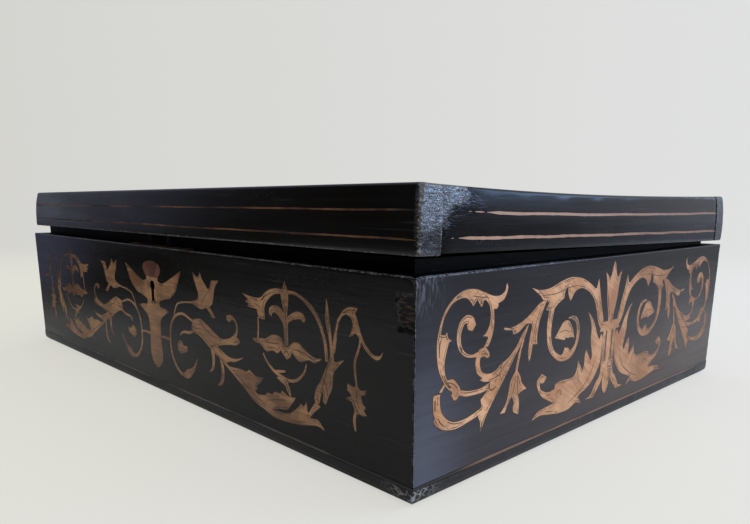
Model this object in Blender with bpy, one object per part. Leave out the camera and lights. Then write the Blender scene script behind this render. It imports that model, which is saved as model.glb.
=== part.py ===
"""An antique ebonised box with inlaid scrollwork and a hinged lid that stands slightly ajar.

The case is four mitred boards on a base board, veneered outside and lined inside. The lining stands
above the rim, and the lid's rails rest on it. The lid is a cupped panel in four rails, hung on two
butt hinges at the back. A lock with a sliding hook bolt sits in the front board.
Metres, +Z up, +X to the right seen from the front, front towards -Y, origin under the middle.
"""

import math

import bmesh
import bpy
from mathutils import Matrix, Vector
from mathutils.geometry import delaunay_2d_cdt

# Case
CASE_LENGTH = 0.3094
CASE_WIDTH = 0.2225
CASE_HEIGHT = 0.064
SIDE_LEAN = 0.0031
BASE_THICKNESS = 0.0045
BASE_EDGE_RADIUS = 0.0023
VENEER_THICKNESS = 0.0016
WALL_THICKNESS = 0.005
LINING_THICKNESS = 0.003
FLOOR_PAD_THICKNESS = 0.0015
STRING_WIDTH = 0.0009
STRING_DEPTH = 0.0012
INLAY_THICKNESS = 0.0007
STROKE_TOLERANCE = 0.0008
STROKE_STEPS = 4
FLAT_TURN = math.radians(1)
EDGE_STEPS = 2
BASE_EDGE_STEPS = 3

# Clearances
JOINT_GAP = 0.0003
KERF = 0.00015
OVERRUN = 0.002

# Lid, level with the rim before it is set ajar
LID_GAP = 0.0018
LID_FRONT_SETBACK = 0.0012
LID_BACK_OVERHANG = 0.0007
LID_END_SETBACK = 0.0003
LID_FRONT_HEIGHT = 0.0191
LID_BACK_HEIGHT = 0.0215
LID_CUP = 0.0015
LID_CUP_SKEW_SHARE = 0.4
LID_FRONT_LEAN = 0.0005
LID_BELLY = 0.0005
LID_EDGE_RADIUS = 0.0008
LID_LEFT_DROP = 0.0009
LID_AJAR = math.radians(1.04)
RAIL_WIDTH = 0.0088
RAIL_HANG_RIGHT = 0.0005
RAIL_HANG_LEFT = 0.0012
PANEL_THICKNESS = 0.005
TOP_VENEER_THICKNESS = 0.0014
LID_LINING_THICKNESS = 0.001
LID_STRING_WIDTH = 0.001
LID_STRING_SHARES = (0.24, 0.67)
BORDER_INSET = 0.013
BORDER_WIDTH = 0.0012
LID_STATIONS = 7

# Hinges
HINGE_LENGTH = 0.03
HINGE_INSET = 0.064
HINGE_LEAF_THICKNESS = 0.001
HINGE_LEAF_DEPTH = 0.0062
HINGE_LEAF_SPACE = 0.0002
HINGE_KNUCKLE_RADIUS = 0.0018
HINGE_PIN_RADIUS = 0.0008
HINGE_PIN_CLEARANCE = 0.0001
HINGE_PIN_HEAD = 0.0006
KNUCKLE_SIDES = 12

# Lock, measured down the slope of the front board and in from its face
LOCK_DROP = 0.0265
LOCK_PLATE_OVERHANG = 0.006
LOCK_PLATE_THICKNESS = 0.0012
LOCK_SHEET = 0.0007
LOCK_SETBACK = 0.0026
LOCK_ROOM = 0.0024
BOLT_THICKNESS = 0.0012
BOLT_TRAVEL = 0.0035
BOLT_BAR_DROP = 0.0078
BOLT_BAR_HEIGHT = 0.004
HOOK_THICKNESS = 0.0013
HOOK_SPREAD = 0.018
HOOK_SHANK = 0.003
HOOK_NOSE = 0.0035
HOOK_NOSE_HEIGHT = 0.002
HOOK_REACH = 0.0069
LINK_PLATE_LENGTH = 0.036
LINK_PLATE_WIDTH = 0.005
LINK_PLATE_THICKNESS = 0.001
KEYHOLE_DROP = 0.017
KEYHOLE_RADIUS = 0.0022
KEYHOLE_SLOT_WIDTH = 0.0024
KEYHOLE_SLOT_DROP = 0.0067
TALON_WIDTH = 0.003
TALON_DEPTH = 0.0016

# Places that follow from the sizes above
HALF_LENGTH = CASE_LENGTH / 2
HALF_WIDTH = CASE_WIDTH / 2
SLOPE_LENGTH = math.hypot(CASE_HEIGHT, SIDE_LEAN)
WALL_OUTER = VENEER_THICKNESS + KERF
WALL_INNER = WALL_OUTER + WALL_THICKNESS
LINING_OUTER = WALL_INNER + KERF
LINING_INNER = LINING_OUTER + LINING_THICKNESS
WALL_FOOT = BASE_THICKNESS + JOINT_GAP
STRING_FOOT = BASE_THICKNESS + KERF
VENEER_FOOT = STRING_FOOT + STRING_WIDTH + KERF
AXIS_HEIGHT = CASE_HEIGHT + LID_GAP / 2
AXIS_Y = HALF_WIDTH + LID_BACK_OVERHANG + HINGE_KNUCKLE_RADIUS + JOINT_GAP
UNDERSIDE = LID_GAP / 2
LID_FRONT = -HALF_WIDTH + LID_FRONT_SETBACK - AXIS_Y
LID_BACK = HALF_WIDTH + LID_BACK_OVERHANG - AXIS_Y
LID_DEPTH = LID_BACK - LID_FRONT
LID_HALF_LENGTH = HALF_LENGTH - LID_END_SETBACK
KEYHOLE_HEIGHT = SLOPE_LENGTH - KEYHOLE_DROP
BEAK_CLEARANCE = JOINT_GAP + KERF
BOLT_START = HOOK_SPREAD / 2 + HOOK_SHANK / 2 + HOOK_NOSE + BEAK_CLEARANCE + BOLT_TRAVEL + HOOK_SHANK
LOCK_HALF_LENGTH = BOLT_START + JOINT_GAP + LOCK_SHEET

# Side name to how far round from the front it faces, as a share of a full turn
SIDE_TURN_SHARES = {"front": 0.0, "right": 0.25, "back": 0.5, "left": 0.75}

# The ornament is drawn on squares: 64 up a side's slope, and this many along half of its length.
# A stroke is its half-widths, spread evenly along it, then its points. A scroll's points are squares
# in from the side's end and up. A centre's are squares from the middle and up, and it is mirrored.
DRAWING_ROWS = 64
DRAWING_COLUMNS = {"front": 154.7, "right": 111.2, "left": 111.2}
END_SCROLL_SHARES = (
    ((0.4, 1.3, 1.2, 1.8, 1.4, 0.9, 0.8, 1.4, 1.0, 0.9, 0.9, 1.0, 1.2),
     ((41.5, 59.5), (36, 55.4), (30, 57), (22, 58.8), (15, 56.6), (11, 52), (10.4, 46), (11.5, 38.5),
      (15.5, 32), (20, 29.2), (27, 28.2), (34, 28.7), (40, 31))),
    ((1.0, 1.0, 1.1, 1.3, 1.0), ((32.5, 56.5), (34.8, 50.5), (34.5, 45.5), (31.8, 40))),
    ((0.7, 0.8, 0.9, 1.0, 1.2, 1.9, 1.9),
     ((33.5, 39), (27, 39), (21, 41.8), (18.9, 47), (21.5, 51.2), (25.2, 50.2), (24.6, 47.8))),
    ((0.9, 0.9, 1.2, 2.0, 1.6, 1.3, 1.5, 1.6),
     ((29.2, 39.5), (28.8, 35), (32.5, 31.2), (39, 31.4), (46, 36), (53, 43), (60, 49.3), (66, 53.6))),
    ((1.3, 1.3, 1.2, 1.0, 1.1), ((11.2, 31), (11.5, 26.5), (15.5, 21.3), (23, 19.9), (33, 22))),
    ((1.0, 0.8, 0.9, 1.6), ((11.5, 30.5), (15.5, 33.4), (19.6, 31.4), (19, 28.6))),
    ((0.4, 2.0, 2.4, 1.2), ((32, 15.5), (33.5, 21), (38, 27), (44.5, 32.5))),
    ((0.4, 1.0, 1.3, 1.6), ((41.5, 45.5), (48.5, 45.3), (56, 48.3), (65, 54))),
    ((0.4, 1.9, 1.6, 1.2), ((56.3, 33), (58, 39), (60.5, 46), (65.5, 53.5))),
    ((0.9, 0.8, 0.9, 1.6), ((55, 44.5), (51.8, 37), (50, 29))),
    ((1.3, 1.8, 1.0, 0.4), ((50, 31), (47, 25), (45.6, 21), (42.5, 18))),
    ((1.3, 1.8, 1.4, 0.4), ((50, 30), (51.3, 24), (52.3, 16.5))),
    ((1.0, 1.1, 0.4), ((49.5, 28.5), (52.5, 25.2), (55.8, 23.7))),
    ((0.4, 1.8, 2.6, 2.2, 1.4, 1.4, 1.3, 1.1),
     ((55.5, 56.7), (62, 54.6), (70, 56), (80, 57.7), (89, 56), (96, 51), (101, 44), (103.5, 38))),
    ((2.4, 1.4, 1.0, 0.9, 1.1, 1.0, 0.8, 0.7, 0.9),
     ((70, 54), (66.6, 48), (66.6, 40), (70.5, 33.4), (78, 30.3), (84.5, 32.5), (87.3, 38.5),
      (84.5, 43.2), (79, 42.5))),
    ((0.4, 2.3, 2.4, 0.4), ((72.5, 38.3), (76.5, 41), (80.5, 41), (84.5, 37.8))),
    ((0.4, 2.0, 3.2, 4.2, 3.8, 3.0, 2.4, 1.8, 0.4),
     ((60.5, 11.8), (69, 13.6), (78, 13.8), (87, 14.2), (95, 16.8), (100, 23), (102.3, 31),
      (100.8, 38.5), (94.5, 44.3))),
    ((1.6, 1.0, 1.2, 2.4), ((67, 24.2), (63.8, 22.8), (67, 18.3), (78, 15.8))),
    ((0.4, 1.8, 2.0), ((74, 22), (81, 20.3), (89, 17.5))),
    ((0.4, 1.6, 2.4), ((89.3, 27.5), (91, 22.5), (94, 18))),
    ((0.4, 1.6, 2.4), ((94.5, 31.3), (97, 26), (99, 21.5))),
)
END_CENTRE_SHARES = (
    ((0.4, 2.4, 6.0, 4.4, 2.6, 2.6), ((0, 61.7), (0, 57), (0, 51.5), (0, 46), (0, 41), (0, 37))),
    ((0.4, 1.7, 2.2), ((6.3, 58.3), (5, 54), (3.6, 49.5))),
    ((0.4, 1.9, 1.8, 1.0), ((11.2, 57), (11.4, 50.5), (9.2, 44), (7.4, 38.5))),
    ((1.4, 1.4), ((-10, 38), (10, 38))),
    ((3.2, 2.6, 3.2), ((0, 37), (0, 29), (0, 20))),
    ((1.0, 1.3), ((6.4, 37.5), (6.8, 20.5))),
    ((1.6, 1.6), ((-9, 20.8), (9, 20.8))),
    ((2.2, 2.4, 0.4), ((0, 20), (0, 15), (0, 10.8))),
    ((1.8, 2.0, 0.4), ((4, 20), (5.6, 15.5), (7, 12))),
    ((1.6, 1.4, 0.4), ((7.8, 20), (10.6, 15.5), (13.4, 12.2))),
)
FRONT_SCROLL_SHARES = (
    ((0.4, 1.0, 1.0, 1.3, 2.2, 1.7, 0.9),
     ((36, 54.6), (36.6, 47), (36.3, 38.5), (37.6, 31), (41, 25), (43.6, 20.6))),
    ((0.9, 1.0, 1.6, 0.4), ((43.4, 20.8), (39.6, 22.5), (35.5, 30.5), (30.2, 36.3))),
    ((1.0, 0.8, 0.8, 1.2, 1.0, 0.8, 0.7, 0.4),
     ((36.2, 36), (33.4, 44.5), (30.3, 50.4), (26.2, 51), (23.6, 46.5), (20.8, 41.6), (17, 40),
      (12.8, 42))),
    ((0.4, 1.5, 0.4), ((29.3, 50.6), (26, 52), (23.2, 53))),
    ((1.3, 0.4), ((24.6, 49.5), (26.6, 45.7))),
    ((0.5, 0.5, 0.5), ((22.8, 44.5), (24.6, 37), (24.2, 29))),
    ((0.9, 2.8, 0.9), ((24.4, 30.8), (24.8, 26), (22, 22))),
    ((0.4, 1.6, 0.4), ((28.7, 28.6), (24.6, 26), (20.8, 28.4))),
    ((0.9, 0.4), ((24.6, 24), (25, 16))),
    ((0.4, 2.0, 1.4, 0.9, 0.8, 0.8, 0.8, 0.9),
     ((83, 50.8), (74, 49.9), (66, 53.4), (57.5, 54.8), (47.5, 52.3), (40.6, 45.5), (38, 37.5),
      (37.6, 31))),
    ((1.8, 0.4), ((71.5, 50), (73.6, 43.2))),
    ((1.0, 0.6, 0.6, 0.6, 0.7, 1.0, 0.8, 0.4),
     ((71.5, 49.5), (74.5, 43.5), (74.3, 35), (69.5, 28), (61.5, 24.6), (54.5, 25.2), (50, 28.5),
      (48.3, 32))),
    ((0.9, 0.8, 0.7), ((63, 26), (60, 22.6), (57, 18.5))),
    ((0.4, 1.6, 0.8, 0.7, 1.4), ((57.5, 57.8), (57.5, 53), (57.8, 46), (58, 40), (58, 33))),
    ((0.6, 1.3, 0.5), ((57.6, 44.5), (61.5, 47.8), (67.3, 46.2))),
    ((0.6, 1.3, 0.4), ((57.6, 44.5), (53.8, 47), (48.4, 47))),
    ((0.4, 1.7, 2.7, 0.8), ((77.5, 35.6), (69, 35.4), (63, 36.6), (58, 35.6))),
    ((0.4, 1.5, 2.4, 0.8), ((42, 34.6), (48, 34.9), (53.2, 36.4), (58, 35.6))),
    ((0.4, 1.4, 2.0, 2.5, 2.8, 2.6, 2.2, 2.4, 3.0, 1.2),
     ((40.7, 12.6), (49, 13.8), (58, 12.6), (67, 12.6), (76, 15), (86, 20.6), (96, 26), (106, 30.8),
      (115, 34.8), (121.5, 36.6))),
    ((0.4, 1.7, 1.6), ((54.6, 19.7), (60.5, 17.4), (67, 14.5))),
    ((0.4, 1.5, 1.2), ((49, 19.6), (51.6, 16), (53.5, 12.8))),
    ((0.4, 1.7, 1.8), ((72.7, 22.8), (79.5, 21.6), (87, 21.4))),
    ((2.4, 1.7, 1.4, 0.9, 0.8, 1.2),
     ((112, 34), (101, 31.8), (91.5, 32.6), (88.2, 37), (90.4, 40.9), (94.3, 40.6))),
    ((1.2, 0.4), ((93, 32.2), (86.7, 33.3))),
    ((1.4, 1.0, 0.4), ((105, 30), (96, 26.9), (84.6, 27.8))),
    ((1.8, 1.4, 0.4), ((105, 30), (107.3, 24), (109.4, 18))),
    ((1.8, 1.5, 0.4), ((98.6, 27), (100, 20), (102.6, 13.8))),
    ((1.0, 0.8, 0.8, 0.7, 0.7, 1.2, 1.9, 1.5, 0.4),
     ((119.5, 36.8), (128, 38.4), (135.5, 35.3), (139.5, 28.5), (138.6, 20), (132.5, 14), (125, 13),
      (120.8, 17.5), (119, 22.6))),
    ((1.0, 0.7, 1.0), ((117, 34), (123.5, 31.2), (129.6, 30))),
    ((0.6, 0.6), ((152, 25.2), (131, 24.3))),
    ((0.9, 2.6, 0.9), ((127.6, 24), (132, 24.2), (136.4, 24.2))),
    ((0.9, 2.6, 0.9), ((132, 28.6), (132, 24.2), (132, 19.8))),
    ((0.7, 1.5, 0.4), ((139.6, 30.5), (136.6, 36.5), (131.8, 41.5))),
    ((0.4, 1.4, 2.6, 2.0, 1.6, 0.4),
     ((121.6, 43.3), (116, 42.8), (110, 44), (105.5, 47.2), (102.6, 51.3), (99.4, 54.7))),
    ((0.5, 2.4, 2.4), ((118.6, 56.3), (114.6, 50.5), (110.5, 45))),
    ((0.4, 1.8, 2.0), ((112.6, 56.5), (111.2, 51), (109.4, 46))),
    ((0.7, 0.7), ((108, 43), (109.6, 33))),
    ((0.4, 1.5, 2.4, 2.0, 1.8), ((127.8, 55.6), (134, 50), (141, 45.7), (147, 42), (152, 37))),
)
FRONT_CENTRE_SHARES = (
    ((2.4, 7.2, 5.4), ((0, 58.4), (0, 54.6), (0, 50.6))),
    ((1.8, 2.0, 2.2), ((4.6, 52), (5.2, 45.5), (4.2, 38))),
    ((6.0, 6.2, 4.6, 3.4, 0.4), ((0, 39.5), (0, 33), (0, 24), (0, 16), (0, 10.5))),
    ((2.0, 1.6, 0.4), ((2, 17.5), (5.4, 14.2), (9, 12.4))),
)

# Look name to base colour, roughness and metallic
LOOKS = {
    "ebonised": ((0.018, 0.017, 0.017), 0.32, 0.0),
    "carcase": ((0.055, 0.035, 0.024), 0.6, 0.0),
    "inlay": ((0.48, 0.30, 0.17), 0.42, 0.0),
    "string": ((0.45, 0.22, 0.12), 0.4, 0.0),
    "lining": ((0.16, 0.075, 0.04), 0.5, 0.0),
    "felt": ((0.16, 0.02, 0.03), 0.95, 0.0),
    "brass": ((0.52, 0.38, 0.16), 0.35, 1.0),
    "iron": ((0.12, 0.11, 0.10), 0.5, 1.0),
}


def clear_scene():
    for item in list(bpy.data.objects):
        bpy.data.objects.remove(item, do_unlink=True)


def make_material(name, look):
    colour, roughness, metallic = LOOKS[look]
    made = bpy.data.materials.new(name)
    made.use_nodes = True
    shader = made.node_tree.nodes["Principled BSDF"]
    shader.inputs["Base Color"].default_value = (*colour, 1.0)
    shader.inputs["Roughness"].default_value = roughness
    shader.inputs["Metallic"].default_value = metallic
    made.diffuse_color = (*colour, 1.0)
    return made


def add_object(name, mesh_data, look=None, parent=None):
    """Put a bmesh into the scene as one object, with its own material."""
    bmesh.ops.recalc_face_normals(mesh_data, faces=mesh_data.faces)
    mesh = bpy.data.meshes.new(name)
    mesh_data.to_mesh(mesh)
    mesh_data.free()
    made = bpy.data.objects.new(name, mesh)
    bpy.context.scene.collection.objects.link(made)
    if look:
        mesh.materials.append(make_material(name, look))
    if parent:
        made.parent = parent
    return made


def add_cutter(name, mesh_data, parent=None):
    made = add_object(name, mesh_data, parent=parent)
    made.hide_render = True
    made.display_type = "WIRE"
    return made


def add_empty(name, matrix):
    made = bpy.data.objects.new(name, None)
    bpy.context.scene.collection.objects.link(made)
    made.matrix_world = matrix
    return made


def cut(target, cutter, operation="DIFFERENCE"):
    step = target.modifiers.new(cutter.name, "BOOLEAN")
    step.operation = operation
    step.solver = "EXACT"
    step.object = cutter


def loft(rings):
    """A closed solid through rings of equal point counts, capped at both ends."""
    made = bmesh.new()
    rows = [[made.verts.new(point) for point in ring] for ring in rings]
    for low, high in zip(rows, rows[1:]):
        count = len(low)
        for i in range(count):
            j = (i + 1) % count
            made.faces.new((low[i], low[j], high[j], high[i]))
    made.faces.new(rows[0])
    made.faces.new(rows[-1])
    return made


def block(low, high):
    """A box between two corners."""
    (x0, y0, z0), (x1, y1, z1) = low, high
    corners = [(x0, y0), (x1, y0), (x1, y1), (x0, y1)]
    return loft([[(x, y, z) for x, y in corners] for z in (z0, z1)])


def prism(outline, low, high):
    """An outline in X and Y drawn up from one height to another."""
    return loft([[(x, y, z) for x, y in outline] for z in (low, high)])


def cylinder(radius, start, end, sides=KNUCKLE_SIDES):
    """A round bar along X, from start to end."""
    rings = []
    for x in (start, end):
        angles = [math.tau * i / sides for i in range(sides)]
        rings.append([(x, radius * math.cos(a), radius * math.sin(a)) for a in angles])
    return loft(rings)


def lean(height):
    """How far in from the rim the outer face lies at a height."""
    return SIDE_LEAN * (1 - height / CASE_HEIGHT)


def side_vectors(side):
    turn = Matrix.Rotation(SIDE_TURN_SHARES[side] * math.tau, 3, "Z")
    return turn @ Vector((1, 0, 0)), turn @ Vector((0, -1, 0))


def side_halves(side):
    """Half the side's own length, and how far its rim lies from the middle."""
    if side in ("front", "back"):
        return HALF_LENGTH, HALF_WIDTH
    return HALF_WIDTH, HALF_LENGTH


def mitred_board(name, side, outer, inner, foot, tops, look):
    """A leaning board mitred into its neighbours. tops holds the height at its two ends."""
    along, outward = side_vectors(side)
    half, reach = side_halves(side)
    rings = []
    for end, top in zip((-1, 1), tops):
        ring = []
        for inset, height in ((outer, foot), (outer, top), (inner, top), (inner, foot)):
            depth = inset + lean(height)
            point = along * end * (half - depth - KERF) + outward * (reach - depth)
            ring.append((point.x, point.y, height))
        rings.append(ring)
    return add_object(name, loft(rings), look)


def side_frame(side):
    """X along the side, Y up its slope from the foot, Z out of its face."""
    along, outward = side_vectors(side)
    _, reach = side_halves(side)
    up = (outward * SIDE_LEAN + Vector((0, 0, CASE_HEIGHT))).normalized()
    facing = along.cross(up)
    frame = Matrix((along, up, facing)).transposed().to_4x4()
    frame.translation = outward * (reach - SIDE_LEAN)
    return frame


def lid_height(x, y):
    """The lid's height above its underside, at a place measured from the hinge axis."""
    share = (y - LID_FRONT) / LID_DEPTH
    cup = 4 * LID_CUP * share * (1 - share) * (1 + LID_CUP_SKEW_SHARE * (1 - 2 * share))
    drop = LID_LEFT_DROP * (1 - x / LID_HALF_LENGTH) / 2
    return LID_FRONT_HEIGHT + (LID_BACK_HEIGHT - LID_FRONT_HEIGHT) * share - cup - drop


def rail_hang(x):
    """How far the front rail hangs below the others."""
    share = (1 + x / LID_HALF_LENGTH) / 2
    return RAIL_HANG_LEFT + (RAIL_HANG_RIGHT - RAIL_HANG_LEFT) * share


def tilt_height(y, height):
    """The world height of a place on the lid once it is set ajar."""
    return AXIS_HEIGHT + height * math.cos(LID_AJAR) - y * math.sin(LID_AJAR)


def rail_ring(place, bottom, top, front_lean=0.0):
    """A rail's section at one station, with a groove for each string.

    place(depth, height) gives the point that lies so far in from the rail's face.
    """
    height = top - bottom

    def face(level):
        share = (level - bottom) / height
        return front_lean * share - 4 * LID_BELLY * share * (1 - share)

    ring = [place(face(bottom), bottom)]
    for share in LID_STRING_SHARES:
        middle = bottom + share * height
        half = LID_STRING_WIDTH / 2 + KERF
        for level, depth in (
            (middle - half, 0.0),
            (middle - half, STRING_DEPTH),
            (middle + half, STRING_DEPTH),
            (middle + half, 0.0),
        ):
            ring.append(place(face(middle) + depth, level))
    for i in range(EDGE_STEPS + 1):
        angle = math.pi / 2 * i / EDGE_STEPS
        round_in = LID_EDGE_RADIUS * (1 - math.cos(angle))
        round_down = LID_EDGE_RADIUS * (1 - math.sin(angle))
        ring.append(place(face(top) + round_in, top - round_down))
    ring.append(place(RAIL_WIDTH, top))
    ring.append(place(RAIL_WIDTH, bottom))
    return ring


def string_ring(place, bottom, top, share, front_lean=0.0):
    """A string's section at one station, flush with the rail's face."""
    height = top - bottom
    middle = bottom + share * height
    depth = front_lean * share - 4 * LID_BELLY * share * (1 - share)
    half = LID_STRING_WIDTH / 2
    low, high = middle - half, middle + half
    back = depth + STRING_DEPTH - KERF
    return [place(depth, low), place(depth, high), place(back, high), place(back, low)]


def front_rail_station(x):
    def place(depth, height):
        return (x, LID_FRONT + depth, height)

    middle = LID_FRONT + RAIL_WIDTH / 2
    top = UNDERSIDE + lid_height(x, middle) - TOP_VENEER_THICKNESS - KERF
    return place, UNDERSIDE - rail_hang(x), top


def back_rail_station(x):
    def place(depth, height):
        return (x, LID_BACK - depth, height)

    middle = LID_BACK - RAIL_WIDTH / 2
    top = UNDERSIDE + lid_height(x, middle) - TOP_VENEER_THICKNESS - KERF
    return place, UNDERSIDE, top


def end_rail_station(sign, y):
    def place(depth, height):
        return (sign * (LID_HALF_LENGTH - depth), y, height)

    middle = sign * (LID_HALF_LENGTH - RAIL_WIDTH / 2)
    top = UNDERSIDE + lid_height(middle, y) - TOP_VENEER_THICKNESS - KERF
    return place, UNDERSIDE, top


def depth_stations(start, end):
    return [start + (end - start) * i / (LID_STATIONS - 1) for i in range(LID_STATIONS)]


def build_case():
    rim = (CASE_HEIGHT, CASE_HEIGHT)
    rings = []
    for i in range(BASE_EDGE_STEPS + 1):
        angle = math.pi / 2 * i / BASE_EDGE_STEPS
        height = BASE_EDGE_RADIUS * (1 - math.cos(angle))
        rings.append((BASE_EDGE_RADIUS * (1 - math.sin(angle)) + lean(height), height))
    rings.append((lean(BASE_THICKNESS), BASE_THICKNESS))
    outline = ((-1, -1), (1, -1), (1, 1), (-1, 1))
    made = loft(
        [
            [(sx * (HALF_LENGTH - inset), sy * (HALF_WIDTH - inset), height) for sx, sy in outline]
            for inset, height in rings
        ]
    )
    add_object("base_board", made, "ebonised")

    lining_tops = lining_top_heights()
    for side in SIDE_TURN_SHARES:
        mitred_board(side + "_wall", side, WALL_OUTER, WALL_INNER, WALL_FOOT, rim, "carcase")
        mitred_board(side + "_veneer", side, 0.0, VENEER_THICKNESS, VENEER_FOOT, rim, "ebonised")
        string_top = STRING_FOOT + STRING_WIDTH
        mitred_board(
            side + "_base_string", side, 0.0, VENEER_THICKNESS, STRING_FOOT, (string_top,) * 2, "string"
        )
        tops = lining_tops[side]
        mitred_board(side + "_lining", side, LINING_OUTER, LINING_INNER, WALL_FOOT, tops, "lining")

    inset = LINING_INNER + lean(WALL_FOOT) + JOINT_GAP
    low = (-HALF_LENGTH + inset, -HALF_WIDTH + inset, WALL_FOOT)
    high = (HALF_LENGTH - inset, HALF_WIDTH - inset, WALL_FOOT + FLOOR_PAD_THICKNESS)
    add_object("floor_pad", block(low, high), "felt")


def smooth_path(points, steps):
    """A Catmull-Rom curve through points, with so many steps a span."""
    padded = [points[0] * 2 - points[1], *points, points[-1] * 2 - points[-2]]
    path = []
    for a, b, c, d in zip(padded, padded[1:], padded[2:], padded[3:]):
        for i in range(steps):
            t = i / steps
            bend = a * 2 - b * 5 + c * 4 - d
            twist = b * 3 - a - c * 3 + d
            path.append(b + ((c - a) * t + bend * t**2 + twist * t**3) / 2)
    path.append(points[-1])
    return path


def thin_out(path, tolerance):
    """The points of a path that it needs to keep its shape to a tolerance."""
    first, last = path[0], path[-1]
    line = last - first
    worst, distance = 0, 0.0
    for i in range(1, len(path) - 1):
        share = max(0.0, min(1.0, (path[i] - first).dot(line) / max(line.dot(line), tolerance**2)))
        off = (path[i] - first - line * share).length
        if off > distance:
            worst, distance = i, off
    if distance <= tolerance:
        return [first, last]
    return thin_out(path[: worst + 1], tolerance)[:-1] + thin_out(path[worst:], tolerance)


def stroke_edges(points, widths, grow):
    """The left and right edge of a stroke whose half-width changes along it."""
    lengths = [0.0]
    for a, b in zip(points, points[1:]):
        lengths.append(lengths[-1] + (b - a).length)
    placed = []
    for point, length in zip(points, lengths):
        place = length / lengths[-1] * (len(widths) - 1)
        i = min(int(place), len(widths) - 2)
        width = widths[i] + (widths[i + 1] - widths[i]) * (place - i)
        placed.append(Vector((point.x, point.y, width)))
    placed = thin_out(smooth_path(placed, STROKE_STEPS), STROKE_TOLERANCE)
    left, right = [], []
    for i, point in enumerate(placed):
        ahead = placed[min(i + 1, len(placed) - 1)].to_2d() - placed[max(i - 1, 0)].to_2d()
        ahead.normalize()
        across = Vector((-ahead.y, ahead.x)) * (point.z + grow)
        middle = point.to_2d()
        if i == 0:
            middle -= ahead * grow
        if i == len(placed) - 1:
            middle += ahead * grow
        left.append(middle + across)
        right.append(middle - across)
    return left, right


def drawn_strokes(side, scroll_shares, centre_shares):
    """Each stroke's points and half-widths on a side's face, in its own frame."""
    half, _ = side_halves(side)
    row = SLOPE_LENGTH / DRAWING_ROWS
    column = half / DRAWING_COLUMNS[side]
    strokes = []
    for widths, points in scroll_shares:
        for sign in (-1, 1):
            placed = [Vector((sign * (half - x * column), y * row)) for x, y in points]
            strokes.append((placed, [width * row for width in widths]))
    for widths, points in centre_shares:
        middle = all(x == 0 for x, _ in points) or points[0][0] == -points[-1][0]
        for sign in (1,) if middle else (-1, 1):
            placed = [Vector((sign * x * column, y * row)) for x, y in points]
            strokes.append((placed, [width * row for width in widths]))
    return strokes


def stroke_prism(strokes, grow, low, high):
    """One solid whose outline is the union of all the strokes."""
    corners, triangles = [], []
    for points, widths in strokes:
        left, right = stroke_edges(points, widths, grow)
        for a, b, c, d in zip(left, right, right[1:], left[1:]):
            for triangle in ((a, b, c), (a, c, d)):
                turn = (triangle[1] - triangle[0]).cross(triangle[2] - triangle[0])
                corners += triangle if turn > 0 else reversed(triangle)
                triangles.append(range(len(corners) - 3, len(corners)))
    places, _, faces, _, _, sources = delaunay_2d_cdt(corners, [], triangles, 0, KERF / len(corners))
    made = bmesh.new()
    verts = [made.verts.new((place.x, place.y, low)) for place in places]
    for face, source in zip(faces, sources):
        if source:
            made.faces.new([verts[i] for i in face])
    bmesh.ops.delete(made, geom=[v for v in made.verts if not v.link_faces], context="VERTS")
    bmesh.ops.dissolve_limit(made, angle_limit=FLAT_TURN, verts=made.verts, edges=made.edges)
    drawn = bmesh.ops.extrude_face_region(made, geom=made.faces[:])
    raised = [item for item in drawn["geom"] if isinstance(item, bmesh.types.BMVert)]
    bmesh.ops.translate(made, verts=raised, vec=(0, 0, high - low))
    return made


def build_marquetry(frames):
    """Light ornament let into the veneer of the front and the two ends."""
    drawings = {
        "front": (FRONT_SCROLL_SHARES, FRONT_CENTRE_SHARES),
        "right": (END_SCROLL_SHARES, END_CENTRE_SHARES),
        "left": (END_SCROLL_SHARES, END_CENTRE_SHARES),
    }
    for side, shares in drawings.items():
        strokes = drawn_strokes(side, *shares)
        floor = -INLAY_THICKNESS - JOINT_GAP
        pocket = stroke_prism(strokes, KERF, floor, OVERRUN)
        cut(bpy.data.objects[side + "_veneer"], add_cutter(side + "_pocket", pocket, frames[side]))
        inlay = stroke_prism(strokes, 0.0, -INLAY_THICKNESS, 0.0)
        add_object(side + "_marquetry", inlay, "inlay", frames[side])


def lining_top_heights():
    """The lining's top at each side's two ends, just under the lid's rails."""
    front_y = LID_FRONT + LINING_INNER
    back_y = LID_BACK - LINING_INNER
    lowest = UNDERSIDE - RAIL_HANG_LEFT
    front_top = tilt_height(front_y, lowest) - JOINT_GAP
    back_top = tilt_height(back_y, UNDERSIDE) - JOINT_GAP
    return {
        "front": (front_top, front_top),
        "back": (back_top, back_top),
        "right": (front_top, back_top),
        "left": (back_top, front_top),
    }


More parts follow.
